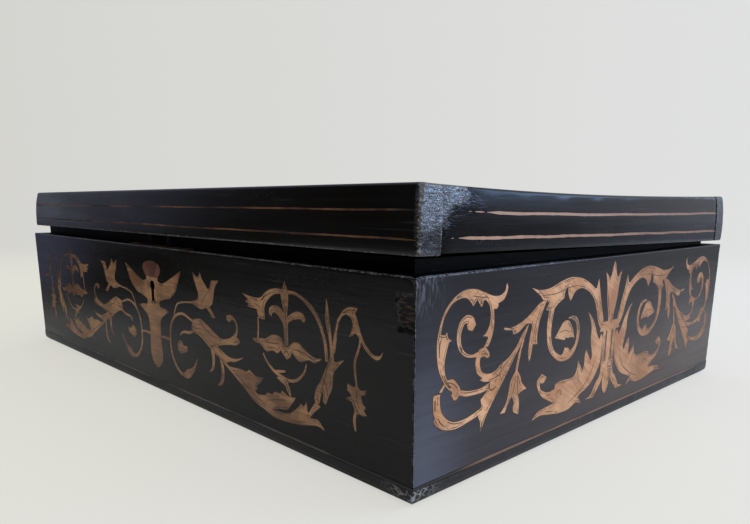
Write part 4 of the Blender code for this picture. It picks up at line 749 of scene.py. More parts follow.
def build_veneer(side):
    """A face of veneer with worn arrises, rim and foot, and its mitred edges."""
    placed = side_frame(side)
    half_rim = HALF_LENGTH if side in ("front", "back") else HALF_WIDTH
    rows = [(VENEER_FOOT, VENEER_THICKNESS)]
    rows += [(v, 0.0) for v in spread(VENEER_FOOT, PANEL[2], 0.0025)]
    rows += [(v, 0.0) for v in spread(PANEL[2], 0.0485, 0.0025)]
    rows += [(v, 0.0) for v in spread(0.0485, PANEL[3], 0.0008)]
    rows += [(v, 0.0) for v in spread(PANEL[3], SLOPE_LENGTH - RIM_RADIUS, 0.0007)]
    for i in range(4):
        angle = math.pi / 2 * i / 3
        top = SLOPE_LENGTH - RIM_RADIUS * (1 - math.sin(angle))
        rows.append((top, RIM_RADIUS * (1 - math.cos(angle))))
    rows.append((SLOPE_LENGTH, VENEER_THICKNESS))
    inner = spread(-half_rim + 0.0085, PANEL[0], 0.004) + spread(PANEL[0], PANEL[1], 0.004)
    inner += [*spread(PANEL[1], half_rim - 0.0085, 0.004)]
    shoulder = spread(0.0028, 0.0085, 0.0006)
    inner = [-half_rim + e for e in shoulder] + inner + [half_rim - e for e in shoulder[::-1]]
    data = bmesh.new()
    grid = []
    for v, sunk in rows:
        height = v * CASE_HEIGHT / SLOPE_LENGTH
        lean = SIDE_LEAN * (1 - height / CASE_HEIGHT)
        share = (half_rim - lean - KERF) / half_rim
        line = []
        for end in (-1, 1):
            radius = arris_radius(side, end, height)
            arc = [(VENEER_THICKNESS, VENEER_THICKNESS)]
            for i in range(4, -1, -1):
                angle = math.pi / 4 * i / 4
                arc.append((radius * (1 - math.sin(angle)), radius * (1 - math.cos(angle))))
            points = [(end * (half_rim * share - e), max(d, sunk)) for e, d in arc]
            line.append(points if end < 0 else points[::-1])
        middle = [(u * share, sunk) for u in inner]
        columns = line[0] + middle + line[1]
        grid.append([(u, v - rim_drop(side, u, v), -depth) for u, depth in columns])
    if side == "front":
        grid = [[patch_point(point) for point in row] for row in grid]
    verts = [[data.verts.new(placed @ Vector(point)) for point in row] for row in grid]
    columns = [c for c, (u, _, _) in enumerate(grid[3]) if PANEL[0] * 1.02 < u < PANEL[1] * 1.02]
    lines = [r for r, (v, _) in enumerate(rows) if PANEL[2] - 1e-6 < v < PANEL[3] + 1e-6]
    left, right, foot, top = columns[0], columns[-1], lines[0], lines[-1]
    for j, (low, high) in enumerate(zip(verts, verts[1:])):
        for i in range(len(low) - 1):
            if side == "front" and left <= i < right and foot <= j < top:
                continue
            data.faces.new((low[i], low[i + 1], high[i + 1], high[i]))
    if side == "front":
        border = [(foot, i) for i in range(left, right)] + [(j, right) for j in range(foot, top)]
        border += [(top, i) for i in range(right, left, -1)] + [(j, left) for j in range(top, foot, -1)]
        pierce(data, placed, [verts[j][i] for j, i in border], [grid[j][i] for j, i in border])
    return data


def keyhole_outline(grow):
    """A round eye over a straight slot, clockwise from the slot's right."""
    radius, half = KEYHOLE_RADIUS + grow, KEYHOLE_SLOT_HALF + grow
    opening = math.asin(half / radius)
    outline = []
    for i in range(21):
        angle = -math.pi / 2 + opening + (math.tau - 2 * opening) * i / 20
        outline.append(Vector((radius * math.cos(angle), KEYHOLE_HEIGHT + radius * math.sin(angle))))
    foot = KEYHOLE_FOOT - grow
    return outline + [Vector((-half, foot)), Vector((half, foot))]


def pierce(data, placed, border, border_places):
    """Fills a panel of the face around the keyhole, and gives the hole its walls."""
    hole = keyhole_outline(0.0)
    corners = [Vector(place[:2]) for place in border_places] + hole
    count = len(border)
    loops = [range(count), range(count, len(corners))]
    places, _, faces, origins, _, sources = delaunay_2d_cdt(corners, [], loops, 0, 1e-9)
    verts = []
    for place, origin in zip(places, origins):
        known = [i for i in origin if i < count]
        verts.append(border[known[0]] if known else data.verts.new(placed @ Vector((place.x, place.y, 0))))
    for face, source in zip(faces, sources):
        if list(source) == [0]:
            data.faces.new([verts[i] for i in face])
    found = {origin[0]: verts[i] for i, origin in enumerate(origins) if origin and origin[0] >= count}
    rim = [found[count + i] for i in range(len(hole))]
    deep = [data.verts.new(placed @ Vector((p.x, p.y, -VENEER_THICKNESS))) for p in hole]
    for i in range(len(hole)):
        j = (i + 1) % len(hole)
        data.faces.new((rim[i], rim[j], deep[j], deep[i]))


def patch_point(point):
    """Sinks the places of the front where a piece of veneer is lost."""
    u, v, w = point
    left, right, foot, top = PATCH
    edge = 0.0012 * noise.noise(Vector((u * 500, v * 500, 1)))
    if left + edge < u < right + edge and foot + edge < v < top + edge and w > -PATCH_DEPTH:
        return (u, v, -PATCH_DEPTH)
    return point


# Marquetry

INLAY_DEPTH = 0.0004
INLAY_PROUD = 0.00003
LINE_PROUD = 0.00005
OUTLINE_PROUD = 0.000015
OUTLINE_HALF = 0.00026
ENGRAVING = ((0.0005, 0.00009, -0.02), (0.0010, 0.00008, 0.06))
STROKE_STEPS = 8
LEAF_STEPS = 6
LEAF_PITCH = 0.0006
SHARP_TURN = math.radians(52)


def smooth_path(points, steps):
    """A Catmull-Rom curve through points, with so many steps a span."""
    padded = [points[0] * 2 - points[1], *points, points[-1] * 2 - points[-2]]
    path = []
    for a, b, c, d in zip(padded, padded[1:], padded[2:], padded[3:]):
        for i in range(steps):
            t = i / steps
            bend = a * 2 - b * 5 + c * 4 - d
            twist = b * 3 - a - c * 3 + d
            path.append(b + ((c - a) * t + bend * t**2 + twist * t**3) / 2)
    path.append(points[-1])
    return path


def stroke_line(points, widths):
    """A stroke's middle line, with its half-width as the third number."""
    lengths = [0.0]
    for a, b in zip(points, points[1:]):
        lengths.append(lengths[-1] + (b - a).length)
    placed = []
    for point, length in zip(points, lengths):
        place = length / lengths[-1] * (len(widths) - 1)
        i = min(int(place), len(widths) - 2)
        width = widths[i] + (widths[i + 1] - widths[i]) * (place - i)
        placed.append(Vector((point.x, point.y, width)))
    return smooth_path(placed, STROKE_STEPS)


def line_edges(line, share=1.0, offset=0.0):
    """The two edges of a line, offset being a share of its half-width to one side."""
    left, right = [], []
    for i, point in enumerate(line):
        ahead = line[min(i + 1, len(line) - 1)].to_2d() - line[max(i - 1, 0)].to_2d()
        ahead.normalize()
        across = Vector((-ahead.y, ahead.x))
        middle = point.to_2d() + across * point.z * offset
        left.append(middle + across * point.z * share)
        right.append(middle - across * point.z * share)
    return left, right


def turned(shape):
    """A closed outline, anticlockwise."""
    area = sum(a.cross(b) for a, b in zip(shape, shape[1:] + shape[:1]))
    return shape if area > 0 else shape[::-1]


def union_of(shapes):
    """The places and faces of the union of closed outlines."""
    corners, loops = [], []
    for shape in shapes:
        corners += turned(shape)
        loops.append(range(len(corners) - len(shape), len(corners)))
    places, _, faces, _, _, sources = delaunay_2d_cdt(corners, [], loops, 0, 1e-8)
    return places, [face for face, source in zip(faces, sources) if source]


def overlap_of(shapes, lines):
    """The places and faces that lie both in a shape and in a line."""
    corners, loops = [], []
    for shape in [*shapes, *lines]:
        corners += turned(shape)
        loops.append(range(len(corners) - len(shape), len(corners)))
    places, _, faces, _, _, sources = delaunay_2d_cdt(corners, [], loops, 0, 1e-8)
    count = len(shapes)
    shared = [min(source) < count <= max(source) if source else False for source in sources]
    return places, [face for face, both in zip(faces, shared) if both]


def inset_lines(shape, inset, half, broken):
    """Broken engraved lines that follow an outline inside it."""
    shape = turned(shape)
    middle = []
    for before, point, after in zip(shape[-1:] + shape[:-1], shape, shape[1:] + shape[:1]):
        ahead = (after - before).normalized()
        place = Vector((point.x, point.y, inset * 4000))
        strength = noise.noise(place * 160) + 0.4 * noise.noise(place * 700) - broken
        moved = point + Vector((-ahead.y, ahead.x)) * inset
        middle.append(Vector((moved.x, moved.y, half * min(1.6, max(0.0, strength * 5)))))
    pieces, run = [], []
    for point in middle:
        if point.z > 0.2 * half:
            run.append(point)
            continue
        if len(run) > 2:
            pieces += strip(*line_edges(run))
        run = []
    return pieces


def strip(left, right):
    """A ribbon between two edges, as small closed outlines."""
    shapes = []
    for a, b, c, d in zip(left, right, right[1:], left[1:]):
        shapes += [[a, b, c], [a, c, d]]
    return shapes


def leaf_outline(points):
    """A closed outline through points, smooth but for its sharp corners."""
    count = len(points)
    sharp = []
    for i in range(count):
        before = points[i] - points[i - 1]
        after = points[(i + 1) % count] - points[i]
        sharp.append(before.angle(after) > SHARP_TURN)
    outline = []
    for i in range(count):
        b, c = points[i], points[(i + 1) % count]
        a = b * 2 - c if sharp[i] else points[i - 1]
        d = c * 2 - b if sharp[(i + 1) % count] else points[(i + 2) % count]
        steps = max(1, min(LEAF_STEPS, round((c - b).length / LEAF_PITCH)))
        outline += smooth_path([a, b, c, d], steps)[steps : 2 * steps]
    return outline


def raise_union(placed, places, faces, low, high):
    """The union as a thin solid on a face's frame."""
    data = bmesh.new()
    verts = [data.verts.new((place.x, place.y, low)) for place in places]
    for face in faces:
        data.faces.new([verts[i] for i in face])
    bmesh.ops.delete(data, geom=[v for v in data.verts if not v.link_faces], context="VERTS")
    bmesh.ops.dissolve_limit(data, angle_limit=math.radians(0.6), verts=data.verts, edges=data.edges)
    drawn = bmesh.ops.extrude_face_region(data, geom=data.faces[:])
    raised = [item for item in drawn["geom"] if isinstance(item, bmesh.types.BMVert)]
    bmesh.ops.translate(data, verts=raised, vec=(0, 0, high - low))
    bmesh.ops.transform(data, matrix=placed, verts=data.verts)
    return data


def mirrored(side, points, centre):
    """Drawn points, and their mirror image, on a face's own frame."""
    half = HALF_LENGTH if side == "front" else HALF_WIDTH
    row = SLOPE_LENGTH / DRAWING_ROWS
    column = half / DRAWING_COLUMNS[side]
    along = [x * column if centre else half - x * column for x, _ in points]
    for sign in (1, -1):
        yield [Vector((sign * x, y * row)) for x, (_, y) in zip(along, points)]


def drawn_lines(side, strokes):
    row = SLOPE_LENGTH / DRAWING_ROWS
    shapes = []
    for widths, points in strokes:
        for placed in mirrored(side, points, False):
            shapes += strip(*line_edges(stroke_line(placed, [width * row for width in widths])))
    return shapes


def build_marquetry(side, leaves, centre_leaves, stems, lines, look, line_look):
    placed = side_frame(side)
    outlines = []
    for centre, drawn in ((False, leaves), (True, centre_leaves)):
        for points in drawn:
            outlines += [leaf_outline(half) for half in mirrored(side, points, centre)]
    shapes = outlines + drawn_lines(side, stems)
    data = raise_union(placed, *union_of(shapes), -INLAY_DEPTH, INLAY_PROUD)
    piece = add_piece(side + "_inlay", data, look, "case", smooth=False)
    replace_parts(piece, side + "_marquetry")
    engraved = drawn_lines(side, lines)
    edges = []
    for shape in outlines:
        for inset, half, broken in ENGRAVING:
            engraved += inset_lines(shape, inset, half, broken)
        loop = [Vector((p.x, p.y, OUTLINE_HALF * (1 + noise.noise(Vector((p.x, p.y, 3)) * 700)))) for p in shape]
        edges += strip(*line_edges(loop + loop[:1]))
    data = raise_union(placed, *overlap_of(shapes, engraved), 0.0, LINE_PROUD)
    add_piece(side + "_inlay_lines", data, line_look, "case", smooth=False)
    data = raise_union(placed, *union_of(edges), -INLAY_DEPTH, OUTLINE_PROUD)
    add_piece(side + "_inlay_outline", data, line_look, "case", smooth=False)


def build_shell(look, line_look):
    """The ribbed shell over the keyhole, in a redder wood."""
    placed = side_frame("front")
    row = SLOPE_LENGTH / DRAWING_ROWS
    outlines = [leaf_outline([Vector((x * row, y * row)) for x, y in SHELL])]
    data = raise_union(placed, *union_of(outlines), -INLAY_DEPTH, INLAY_PROUD * 1.5)
    add_piece("front_shell", data, look, "case", smooth=False)
    ribs = []
    for x in (-5, -2.5, 0, 2.5, 5):
        points = [Vector((0.35 * x * row, 51.6 * row, 0.00012)), Vector((x * row, 57.4 * row, 0.0003))]
        ribs += strip(*line_edges(points))
    data = raise_union(placed, *overlap_of(outlines, ribs), 0.0, LINE_PROUD * 1.4)
    add_piece("front_shell_ribs", data, line_look, "case", smooth=False)


# Lid, measured from the hinge axis with the lid's underside level

LID_GAP = 0.0018
UNDERSIDE = LID_GAP / 2
LID_FRONT = -0.2241
LID_BACK = -0.0021
LID_DEPTH = LID_BACK - LID_FRONT
LID_FRONT_HEIGHT = 0.01906
LID_BACK_HEIGHT = 0.0215
LID_CUP = 0.0015
LID_CUP_SKEW_SHARE = 0.4
LID_LEFT_DROP = 0.0009
LID_FRONT_LEAN = 0.0005
LID_BELLY = 0.00041
LID_STRING_SHARES = (0.24, 0.67)
LID_STRING_HALVES = {"front": 0.00032, "right": 0.0005, "back": 0.0004, "left": 0.0005}
STRING_PROUD = 0.00003
RAIL_WIDTH = 0.0088
RAIL_HANG_RIGHT = 0.0005
RAIL_HANG_LEFT = 0.0012
RAIL_LIP = 0.0026
TOP_VENEER_THICKNESS = 0.0014
LINING_BACK = 0.00685
JOINT_GAP = 0.0003
LEVELS = 14
LID_PLACED = Matrix.Translation((0, AXIS_Y, AXIS_HEIGHT)) @ Matrix.Rotation(-LID_AJAR, 4, "X")


def wander(place, scale, seed, size):
    return size * noise.noise(Vector(place) * scale + Vector((seed, seed * 1.7, seed * 0.3)))


def lid_height(x, y):
    """The lid's height above its underside."""
    share = (y - LID_FRONT) / LID_DEPTH
    cup = 4 * LID_CUP * share * (1 - share) * (1 + LID_CUP_SKEW_SHARE * (1 - 2 * share))
    drop = LID_LEFT_DROP * (1 - x / LID_HALF_LENGTH) / 2
    return LID_FRONT_HEIGHT + (LID_BACK_HEIGHT - LID_FRONT_HEIGHT) * share - cup - drop


def rail_foot(x, hangs):
    if not hangs:
        return UNDERSIDE
    share = (1 + x / LID_HALF_LENGTH) / 2
    return UNDERSIDE - RAIL_HANG_LEFT - (RAIL_HANG_RIGHT - RAIL_HANG_LEFT) * share


def face_depth(share, lean):
    return lean * share - 4 * LID_BELLY * share * (1 - share)


def rail_levels(edge):
    """A rail's section as (height share, extra height, depth from the face, kind) from its inner foot."""
    foot = 0.0004
    rebate = 0.0002
    section = [(0.0, rebate, RAIL_WIDTH, "flat"), (0.0, rebate, 4 * foot, "round"), (0.0, 0.0, 3 * foot, "round")]
    section.append((0.0, 0.0, foot, "round"))
    for i in range(1, 3):
        angle = math.pi / 2 * i / 2
        section.append((0.0, foot * (1 - math.cos(angle)), foot * (1 - math.sin(angle)), "round"))
    for i in range(1, LEVELS):
        section.append((i / LEVELS, 0.0, 0.0, "face"))
    for i in range(6):
        angle = math.pi / 2 * i / 5
        section.append((1.0, -edge * (1 - math.sin(angle)), edge * (1 - math.cos(angle)), "round"))
    section.append((1.0, 0.0, RAIL_LIP, "flat"))
    section.append((1.0, -TOP_VENEER_THICKNESS, RAIL_LIP, "flat"))
    section.append((1.0, -TOP_VENEER_THICKNESS, RAIL_WIDTH, "flat"))
    return section


def rail_point(x, y, ways, item, lean, hangs):
    """One point of a rail: its plan place on the outer face, moved in along the inward ways."""
    share, rise, depth, kind = item
    foot = rail_foot(x, hangs)
    top = UNDERSIDE + lid_height(x, y)
    height = foot + (top - foot) * share + rise
    level = min(1.0, max(0.0, (height - foot) / (top - foot)))
    inward = Vector((0, 0))
    for way, leans in ways:
        move = depth
        if kind != "flat" or depth < RAIL_WIDTH:
            move += face_depth(level, lean if leans else 0.0)
            move += max(0.0, wander((x, y, height), 130, 2.0, 0.00022)) * (kind == "round")
        inward += Vector(way) * move
    return (x + inward.x, y + inward.y, height)


def loop_faces(data, rows, closed):
    count = len(rows[0])
    for low, high in zip(rows, rows[1:]):
        for i in range(count if closed else count - 1):
            j = (i + 1) % count
            data.faces.new((low[i], low[j], high[j], high[i]))


def build_side_rail(sign):
    """A rail of a lid's end, between the front and back rails."""
    start = LID_FRONT + RAIL_WIDTH + JOINT_GAP / 2
    stop = LID_BACK - RAIL_WIDTH - JOINT_GAP / 2
    section = rail_levels(0.0009)
    data = bmesh.new()
    rows = []
    for y in [*spread(start, stop, 0.0025), stop]:
        end = min(y - start, stop - y)
        nick = 0.00035 * max(0.0, 1 - end / 0.0004)
        ways = (((-sign, 0), False),)
        points = []
        for item in section:
            x, py, z = rail_point(sign * LID_HALF_LENGTH, y, ways, item, 0.0, False)
            inner = item[2] > RAIL_LIP * 0.9
            points.append((x - (0 if inner else sign * nick), py, z))
        rows.append([data.verts.new(point) for point in points])
    loop_faces(data, rows, True)
    for row in (rows[0], rows[-1]):
        data.faces.new(row)
    bmesh.ops.transform(data, matrix=LID_PLACED, verts=data.verts)
    return data


def rail_plan(front):
    """Plan places and inward ways around a long rail: one end, a worn arris, its face and so on."""
    face = LID_FRONT if front else LID_BACK
    into = 1 if front else -1
    inner = face + into * RAIL_WIDTH
    plan = []
    for sign in (1, -1):
        x = sign * LID_HALF_LENGTH
        end = [(x, inner - into * t, (((-sign, 0), False),)) for t in spread(0, RAIL_WIDTH - 0.0006, 0.0011)]
        corner = [(x, face, (((-sign, 0), False), ((0, into), True)), a / 4) for a in range(5)]
        plan.append(end + corner)
    run = [(x, face, (((0, into), True),)) for x in spread(LID_HALF_LENGTH - 0.0024, -LID_HALF_LENGTH + 0.0024, 0.003)]
    return plan[0] + run + plan[1][::-1]


def build_long_rail(front):
    """The front or back rail, with its ends and their worn arrises."""
    lean = LID_FRONT_LEAN if front else 0.0
    section = rail_levels(0.0009)
    data = bmesh.new()
    rows = []
    for station in rail_plan(front):
        x, y, ways = station[:3]
        points = []
        for item in section:
            point = Vector(rail_point(x, y, ways, item, lean, front))
            if len(station) > 3:
                point = arris_point(point, ways, station[3], item, x > 0)
            points.append(point)
        rows.append([data.verts.new(point) for point in points])
    loop_faces(data, rows, True)
    for row in (rows[0], rows[-1]):
        data.faces.new(row)
    bmesh.ops.transform(data, matrix=LID_PLACED, verts=data.verts)
    return data


def arris_point(point, ways, turn, item, right):
    """A point on the quarter round that an upright arris is worn to."""
    share = item[0]
    radius = 0.0007 + wander(point, 240, 5.0, 0.0003) + 0.0011 * max(0.0, share - 0.72) / 0.28
    if item[2] > RAIL_LIP * 0.9:
        radius = 0.0007
    angle = math.pi / 2 * turn
    along, into = Vector(ways[0][0]), Vector(ways[1][0])
    moved = along * radius * (1 - math.cos(angle)) + into * radius * (1 - math.sin(angle))
    return point + Vector((moved.x, moved.y, 0))


def build_lid_top():
    """The top veneer within the rails' edges, cupped, with the groove of its border left to the string."""
    data = bmesh.new()
    edge_x = LID_HALF_LENGTH - RAIL_LIP - 0.00008
    front = LID_FRONT + LID_FRONT_LEAN + RAIL_LIP + 0.00008
    back = LID_BACK - RAIL_LIP - 0.00008
    columns = [*spread(-edge_x, edge_x, 0.006), edge_x]
    lines = [*spread(front, back, 0.006), back]
    grid = [[(x, y) for x in columns] for y in lines]
    layers = []
    for sunk in (0.0, TOP_VENEER_THICKNESS):
        layers.append([[data.verts.new((x, y, UNDERSIDE + lid_height(x, y) - sunk)) for x, y in row] for row in grid])
    for rows in layers:
        loop_faces(data, rows, False)
    top, under = layers
    rim = [top[0], [row[-1] for row in top], top[-1][::-1], [row[0] for row in top][::-1]]
    low = [under[0], [row[-1] for row in under], under[-1][::-1], [row[0] for row in under][::-1]]
    for upper, lower in zip(rim, low):
        loop_faces(data, [upper, lower], False)
    bmesh.ops.transform(data, matrix=LID_PLACED, verts=data.verts)
    return data


def lid_string_runs(side, share):
    """Where a lid string shows along its rail, as (start, stop) in the lid's own measures."""
    if side in ("front", "back"):
        return ((-LID_HALF_LENGTH + 0.0003, LID_HALF_LENGTH - 0.0008),)
    start = -0.094 - AXIS_Y if share < 0.5 else -0.0815 - AXIS_Y
    stop = LID_BACK - RAIL_WIDTH - JOINT_GAP
    if share < 0.5:
        return ((start - 0.0032, start - 0.0022), (start, stop))
    return ((start - 0.0085, start - 0.0073), (start - 0.0056, start - 0.0012), (start, stop))


def build_lid_string(side, share):
    """A string let into a rail, a little uneven, with chipped beginnings."""
    data = bmesh.new()
    lean = LID_FRONT_LEAN if side == "front" else 0.0
    for start, stop in lid_string_runs(side, share):
        rows = []
        for s in [*spread(start, stop, 0.0016), stop]:
            if side in ("front", "back"):
                x, y = s, (LID_FRONT if side == "front" else LID_BACK)
                way = (0, 1) if side == "front" else (0, -1)
            else:
                sign = 1 if side == "right" else -1
                x, y, way = sign * LID_HALF_LENGTH, s, (-sign, 0)
            foot = rail_foot(x, side == "front")
            top = UNDERSIDE + lid_height(x, y)
            middle = foot + (top - foot - TOP_VENEER_THICKNESS) * share + wander((x, y, 0), 60, share * 9, 0.00022)
            half = LID_STRING_HALVES[side] * (0.9 + wander((x, y, 0), 420, share * 5, 0.3))
            near_end = min(s - start, stop - s)
            half *= min(1.0, 0.15 + near_end / 0.006)
            ring = []
            for height, sunk in ((middle - half, 0), (middle + half, 0), (middle + half, 1), (middle - half, 1)):
                depth = face_depth((height - foot) / (top - foot), lean) + (0.0004 if sunk else -STRING_PROUD)
                ring.append(data.verts.new((x + way[0] * depth, y + way[1] * depth, height)))
            rows.append(ring)
        loop_faces(data, rows, True)
        for row in (rows[0], rows[-1]):
            data.faces.new(row)
    bmesh.ops.transform(data, matrix=LID_PLACED, verts=data.verts)
    return data


# Velvet pads and screws

SCREW_RISE = 0.00008
SEAM_INSET = 0.0052
SEAM_HALF = 0.0007
EDGE_STEPS = (0.0, 0.00012, 0.0004, 0.0009, 0.0017, 0.0028, 0.0038, 0.0044, 0.0048, 0.0052, 0.0056, 0.0060, 0.0068, 0.0084)


def pad_steps(half, pitch):
    """Places from -half to half, close together near the edges and at the seam."""
    edge = [-half + step for step in EDGE_STEPS]
    count = max(2, round(2 * (half - EDGE_STEPS[-1]) / pitch))
    start = edge[-1]
    inner = [start - 2 * start * i / count for i in range(1, count)]
    return edge + inner + [-step for step in reversed(edge)]


def pad_height(x, y, half_x, half_y, thick, seed):
    """A stuffed pad's height: round edges, a sewn seam inside them and a soft uneven crown."""
    inset = min(half_x - abs(x), half_y - abs(y))
    round_edge = min(1.0, inset / 0.0024)
    height = 0.62 * math.sqrt(max(0.0, 1 - (1 - round_edge) ** 2))
    crown = (1 - (abs(x) / half_x) ** 6) * (1 - (abs(y) / half_y) ** 6)
    height += 0.30 * crown * round_edge
    height -= 0.30 * math.exp(-(((inset - SEAM_INSET) / SEAM_HALF) ** 2)) * (0.8 + 0.2 * math.cos((x + y) * 2100))
    rumple = noise.noise(Vector((x * 38 + seed, y * 38, seed))) + 0.5 * noise.noise(Vector((x * 110, y * 110 + seed, seed)))
    return thick * max(0.0, height + 0.055 * rumple * round_edge)


def build_pad(half_x, half_y, pull, thick, seed, place):
    """A closed crowned pad whose sides pull in between its corners; place(x, y, rise) puts it down."""
    data = bmesh.new()
    across, along = pad_steps(half_x, 0.0046), pad_steps(half_y, 0.0046)
    upper, lower = {}, {}
    for i, x in enumerate(across):
        for j, y in enumerate(along):
            px = x - pull * (x / half_x) * (1 - (y / half_y) ** 2)
            py = y - pull * (y / half_y) * (1 - (x / half_x) ** 2)
            rim = i in (0, len(across) - 1) or j in (0, len(along) - 1)
            rise = 0.12 * thick if rim else pad_height(x, y, half_x, half_y, thick, seed)
            upper[i, j] = data.verts.new(place(px, py, max(rise, 0.12 * thick)))
            lower[i, j] = data.verts.new(place(px, py, 0.0))
    for i in range(len(across) - 1):
        for j in range(len(along) - 1):
            data.faces.new((upper[i, j], upper[i + 1, j], upper[i + 1, j + 1], upper[i, j + 1]))
            data.faces.new((lower[i, j], lower[i, j + 1], lower[i + 1, j + 1], lower[i + 1, j]))
    ring = [(i, 0) for i in range(len(across) - 1)] + [(len(across) - 1, j) for j in range(len(along) - 1)]
    ring += [(i, len(along) - 1) for i in range(len(across) - 1, 0, -1)] + [(0, j) for j in range(len(along) - 1, 0, -1)]
    for a, b in zip(ring, ring[1:] + ring[:1]):
        data.faces.new((lower[a], lower[b], upper[b], upper[a]))
    return data


def build_floor_pad():
    return build_pad(0.1415, 0.0981, 0.0007, 0.00148, 3.1, lambda x, y, rise: (x, y, WALL_FOOT + rise))


def build_lid_pad():
    middle = (LID_FRONT + LID_BACK) / 2
    half_x = LID_HALF_LENGTH - RAIL_WIDTH - JOINT_GAP
    half_y = LID_DEPTH / 2 - RAIL_WIDTH - JOINT_GAP

    def place(x, y, rise):
        y += middle
        return LID_PLACED @ Vector((x, y, UNDERSIDE + lid_height(x, y) - LINING_BACK - rise))

    return build_pad(half_x, half_y, 0.0007, 0.00098, 7.7, place)


def surface_at(names, start, way):
    """Where a line from start first meets the CAD nodes, with the surface's direction."""
    found = None
    for name in names:
        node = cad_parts[name]
        points = [node.matrix_world @ vertex.co for vertex in node.data.vertices]
        tree = BVHTree.FromPolygons(points, [tuple(face.vertices) for face in node.data.polygons])
        place, normal, _, distance = tree.ray_cast(Vector(start), Vector(way))
        if place and (found is None or distance < found[2]):
            found = (place, normal, distance)
    return found


def build_screws(spots, radius):
    """Slotted heads lying on the plates that they hold, each turned its own way; a spot is (names, start, way)."""
    data = bmesh.new()
    for number, (names, start, way) in enumerate(spots):
        place, normal, _ = surface_at(names, start, way)
        if normal.dot(Vector(way)) > 0:
            normal = -normal
        basis = normal.to_track_quat("Z", "Y").to_matrix().to_4x4()
        turn = Matrix.Rotation(0.7 + 1.9 * number, 4, "Z")
        moved = Matrix.Translation(place) @ basis @ turn
        half = radius * 0.13
        levels = [-radius * math.cos(math.pi / 2 * i / 5) for i in range(1, 5)] + [-half, -half]
        levels += [-level for level in reversed(levels)]
        rows = []
        for i, v in enumerate(levels):
            wide = math.sqrt(max(0.0, radius**2 - v**2))
            in_slot = i in (5, 6)
            row = []
            for k in range(9):
                u = wide * math.sin(math.pi / 2 * (k / 4 - 1))
                far = math.hypot(u, v) / radius
                top = SCREW_RISE * (1 - 0.35 * far**4)
                row.append(data.verts.new(moved @ Vector((u, v, SCREW_RISE * 0.12 if in_slot else top))))
            rows.append(row)
        foot = [[data.verts.new(vertex.co - normal * SCREW_RISE * 2.5) for vertex in row] for row in rows]
        for a, b in zip(rows, rows[1:]):
            for k in range(8):
                face = data.faces.new((a[k], a[k + 1], b[k + 1], b[k]))
                # the slot takes the second material: dark as dirt and as painted shade in the shallow slot
                face.material_index = 1 if a is rows[5] else 0
        for a, b, c, d in zip(rows, rows[1:], foot, foot[1:]):
            data.faces.new((a[0], b[0], d[0], c[0]))
            data.faces.new((a[8], c[8], d[8], b[8]))
            for k in range(8):
                data.faces.new((c[k], d[k], d[k + 1], c[k + 1]))
        for row, under in ((rows[0], foot[0]), (rows[-1], foot[-1])):
            for k in range(8):
                data.faces.new((row[k], under[k], under[k + 1], row[k + 1]))
    return data


def hinge_spots(upper):
    """Three screws in each hinge leaf, from inside the open hinge."""
    spots = []
    for side, sign in (("left", -1), ("right", 1)):
        for step in (-0.0098, 0.0, 0.0098):
            x = sign * 0.0907 + step
            if upper:
                name, start, way = f"{side}_hinge_upper_leaf", (x, -0.0062, -0.004), (0, 0, 1)
                start, way = LID_PLACED @ Vector(start), LID_PLACED.to_3x3() @ Vector(way)
            else:
                name, start, way = f"{side}_hinge_lower_leaf", (x, 0.1079, 0.075), (0, 0, -1)
            spots.append(([name], start, way))
    return spots


# Wear, wrinkles, veils, blooms and painted reflections, placed on each face

def front_wear(look, place):
    """Bare flecks at the near corner, the rim and the foot, and the lost piece of veneer."""
    x, _, z = look.parts(look.place)
    slope = look.math("MULTIPLY", look.math("SUBTRACT", CASE_HEIGHT, z), SIDE_LEAN / CASE_HEIGHT)
    edge = look.math("ADD", look.math("ABSOLUTE", x), slope)
    fleck = look.noise(look.place, 900, 3, 0.6)
    arris = look.math("MULTIPLY", look.map_range(edge, HALF_LENGTH - 0.0011, HALF_LENGTH - 0.0002), 1.0)
    rim = look.map_range(z, CASE_HEIGHT - 0.0009, CASE_HEIGHT - 0.0001)
    worn = look.math("MAXIMUM", arris, rim)
    bare = look.map_range(look.math("MULTIPLY", worn, fleck), 0.44, 0.56)
    left, right, foot, top = PATCH
    ragged = look.math("MULTIPLY", look.math("SUBTRACT", look.noise(look.place, 420, 3), 0.5), 0.0036)
    u, v = look.math("ADD", x, ragged), look.math("ADD", z, ragged)
    inside = look.math("MULTIPLY", look.map_range(u, left, left + 0.0005), look.map_range(u, right + 0.0006, right))
    inside = look.math("MULTIPLY", inside, look.map_range(v, foot, foot + 0.0008))
    inside = look.math("MULTIPLY", inside, look.map_range(v, top, top - 0.0005))
    streak = look.noise(look.stretched(look.place, (300, 300, 1500)), 1, 3)
    streak = look.map_range(streak, 0.48, 0.66)
    stain = look.mix_colour(streak, (0.0035, 0.0026, 0.0022), (0.075, 0.038, 0.025))
    tint = look.mix_colour(inside, (0.16, 0.15, 0.145), stain)
    patch = inside
    return look.math("MAXIMUM", look.math("MULTIPLY", bare, 0.75), patch), tint


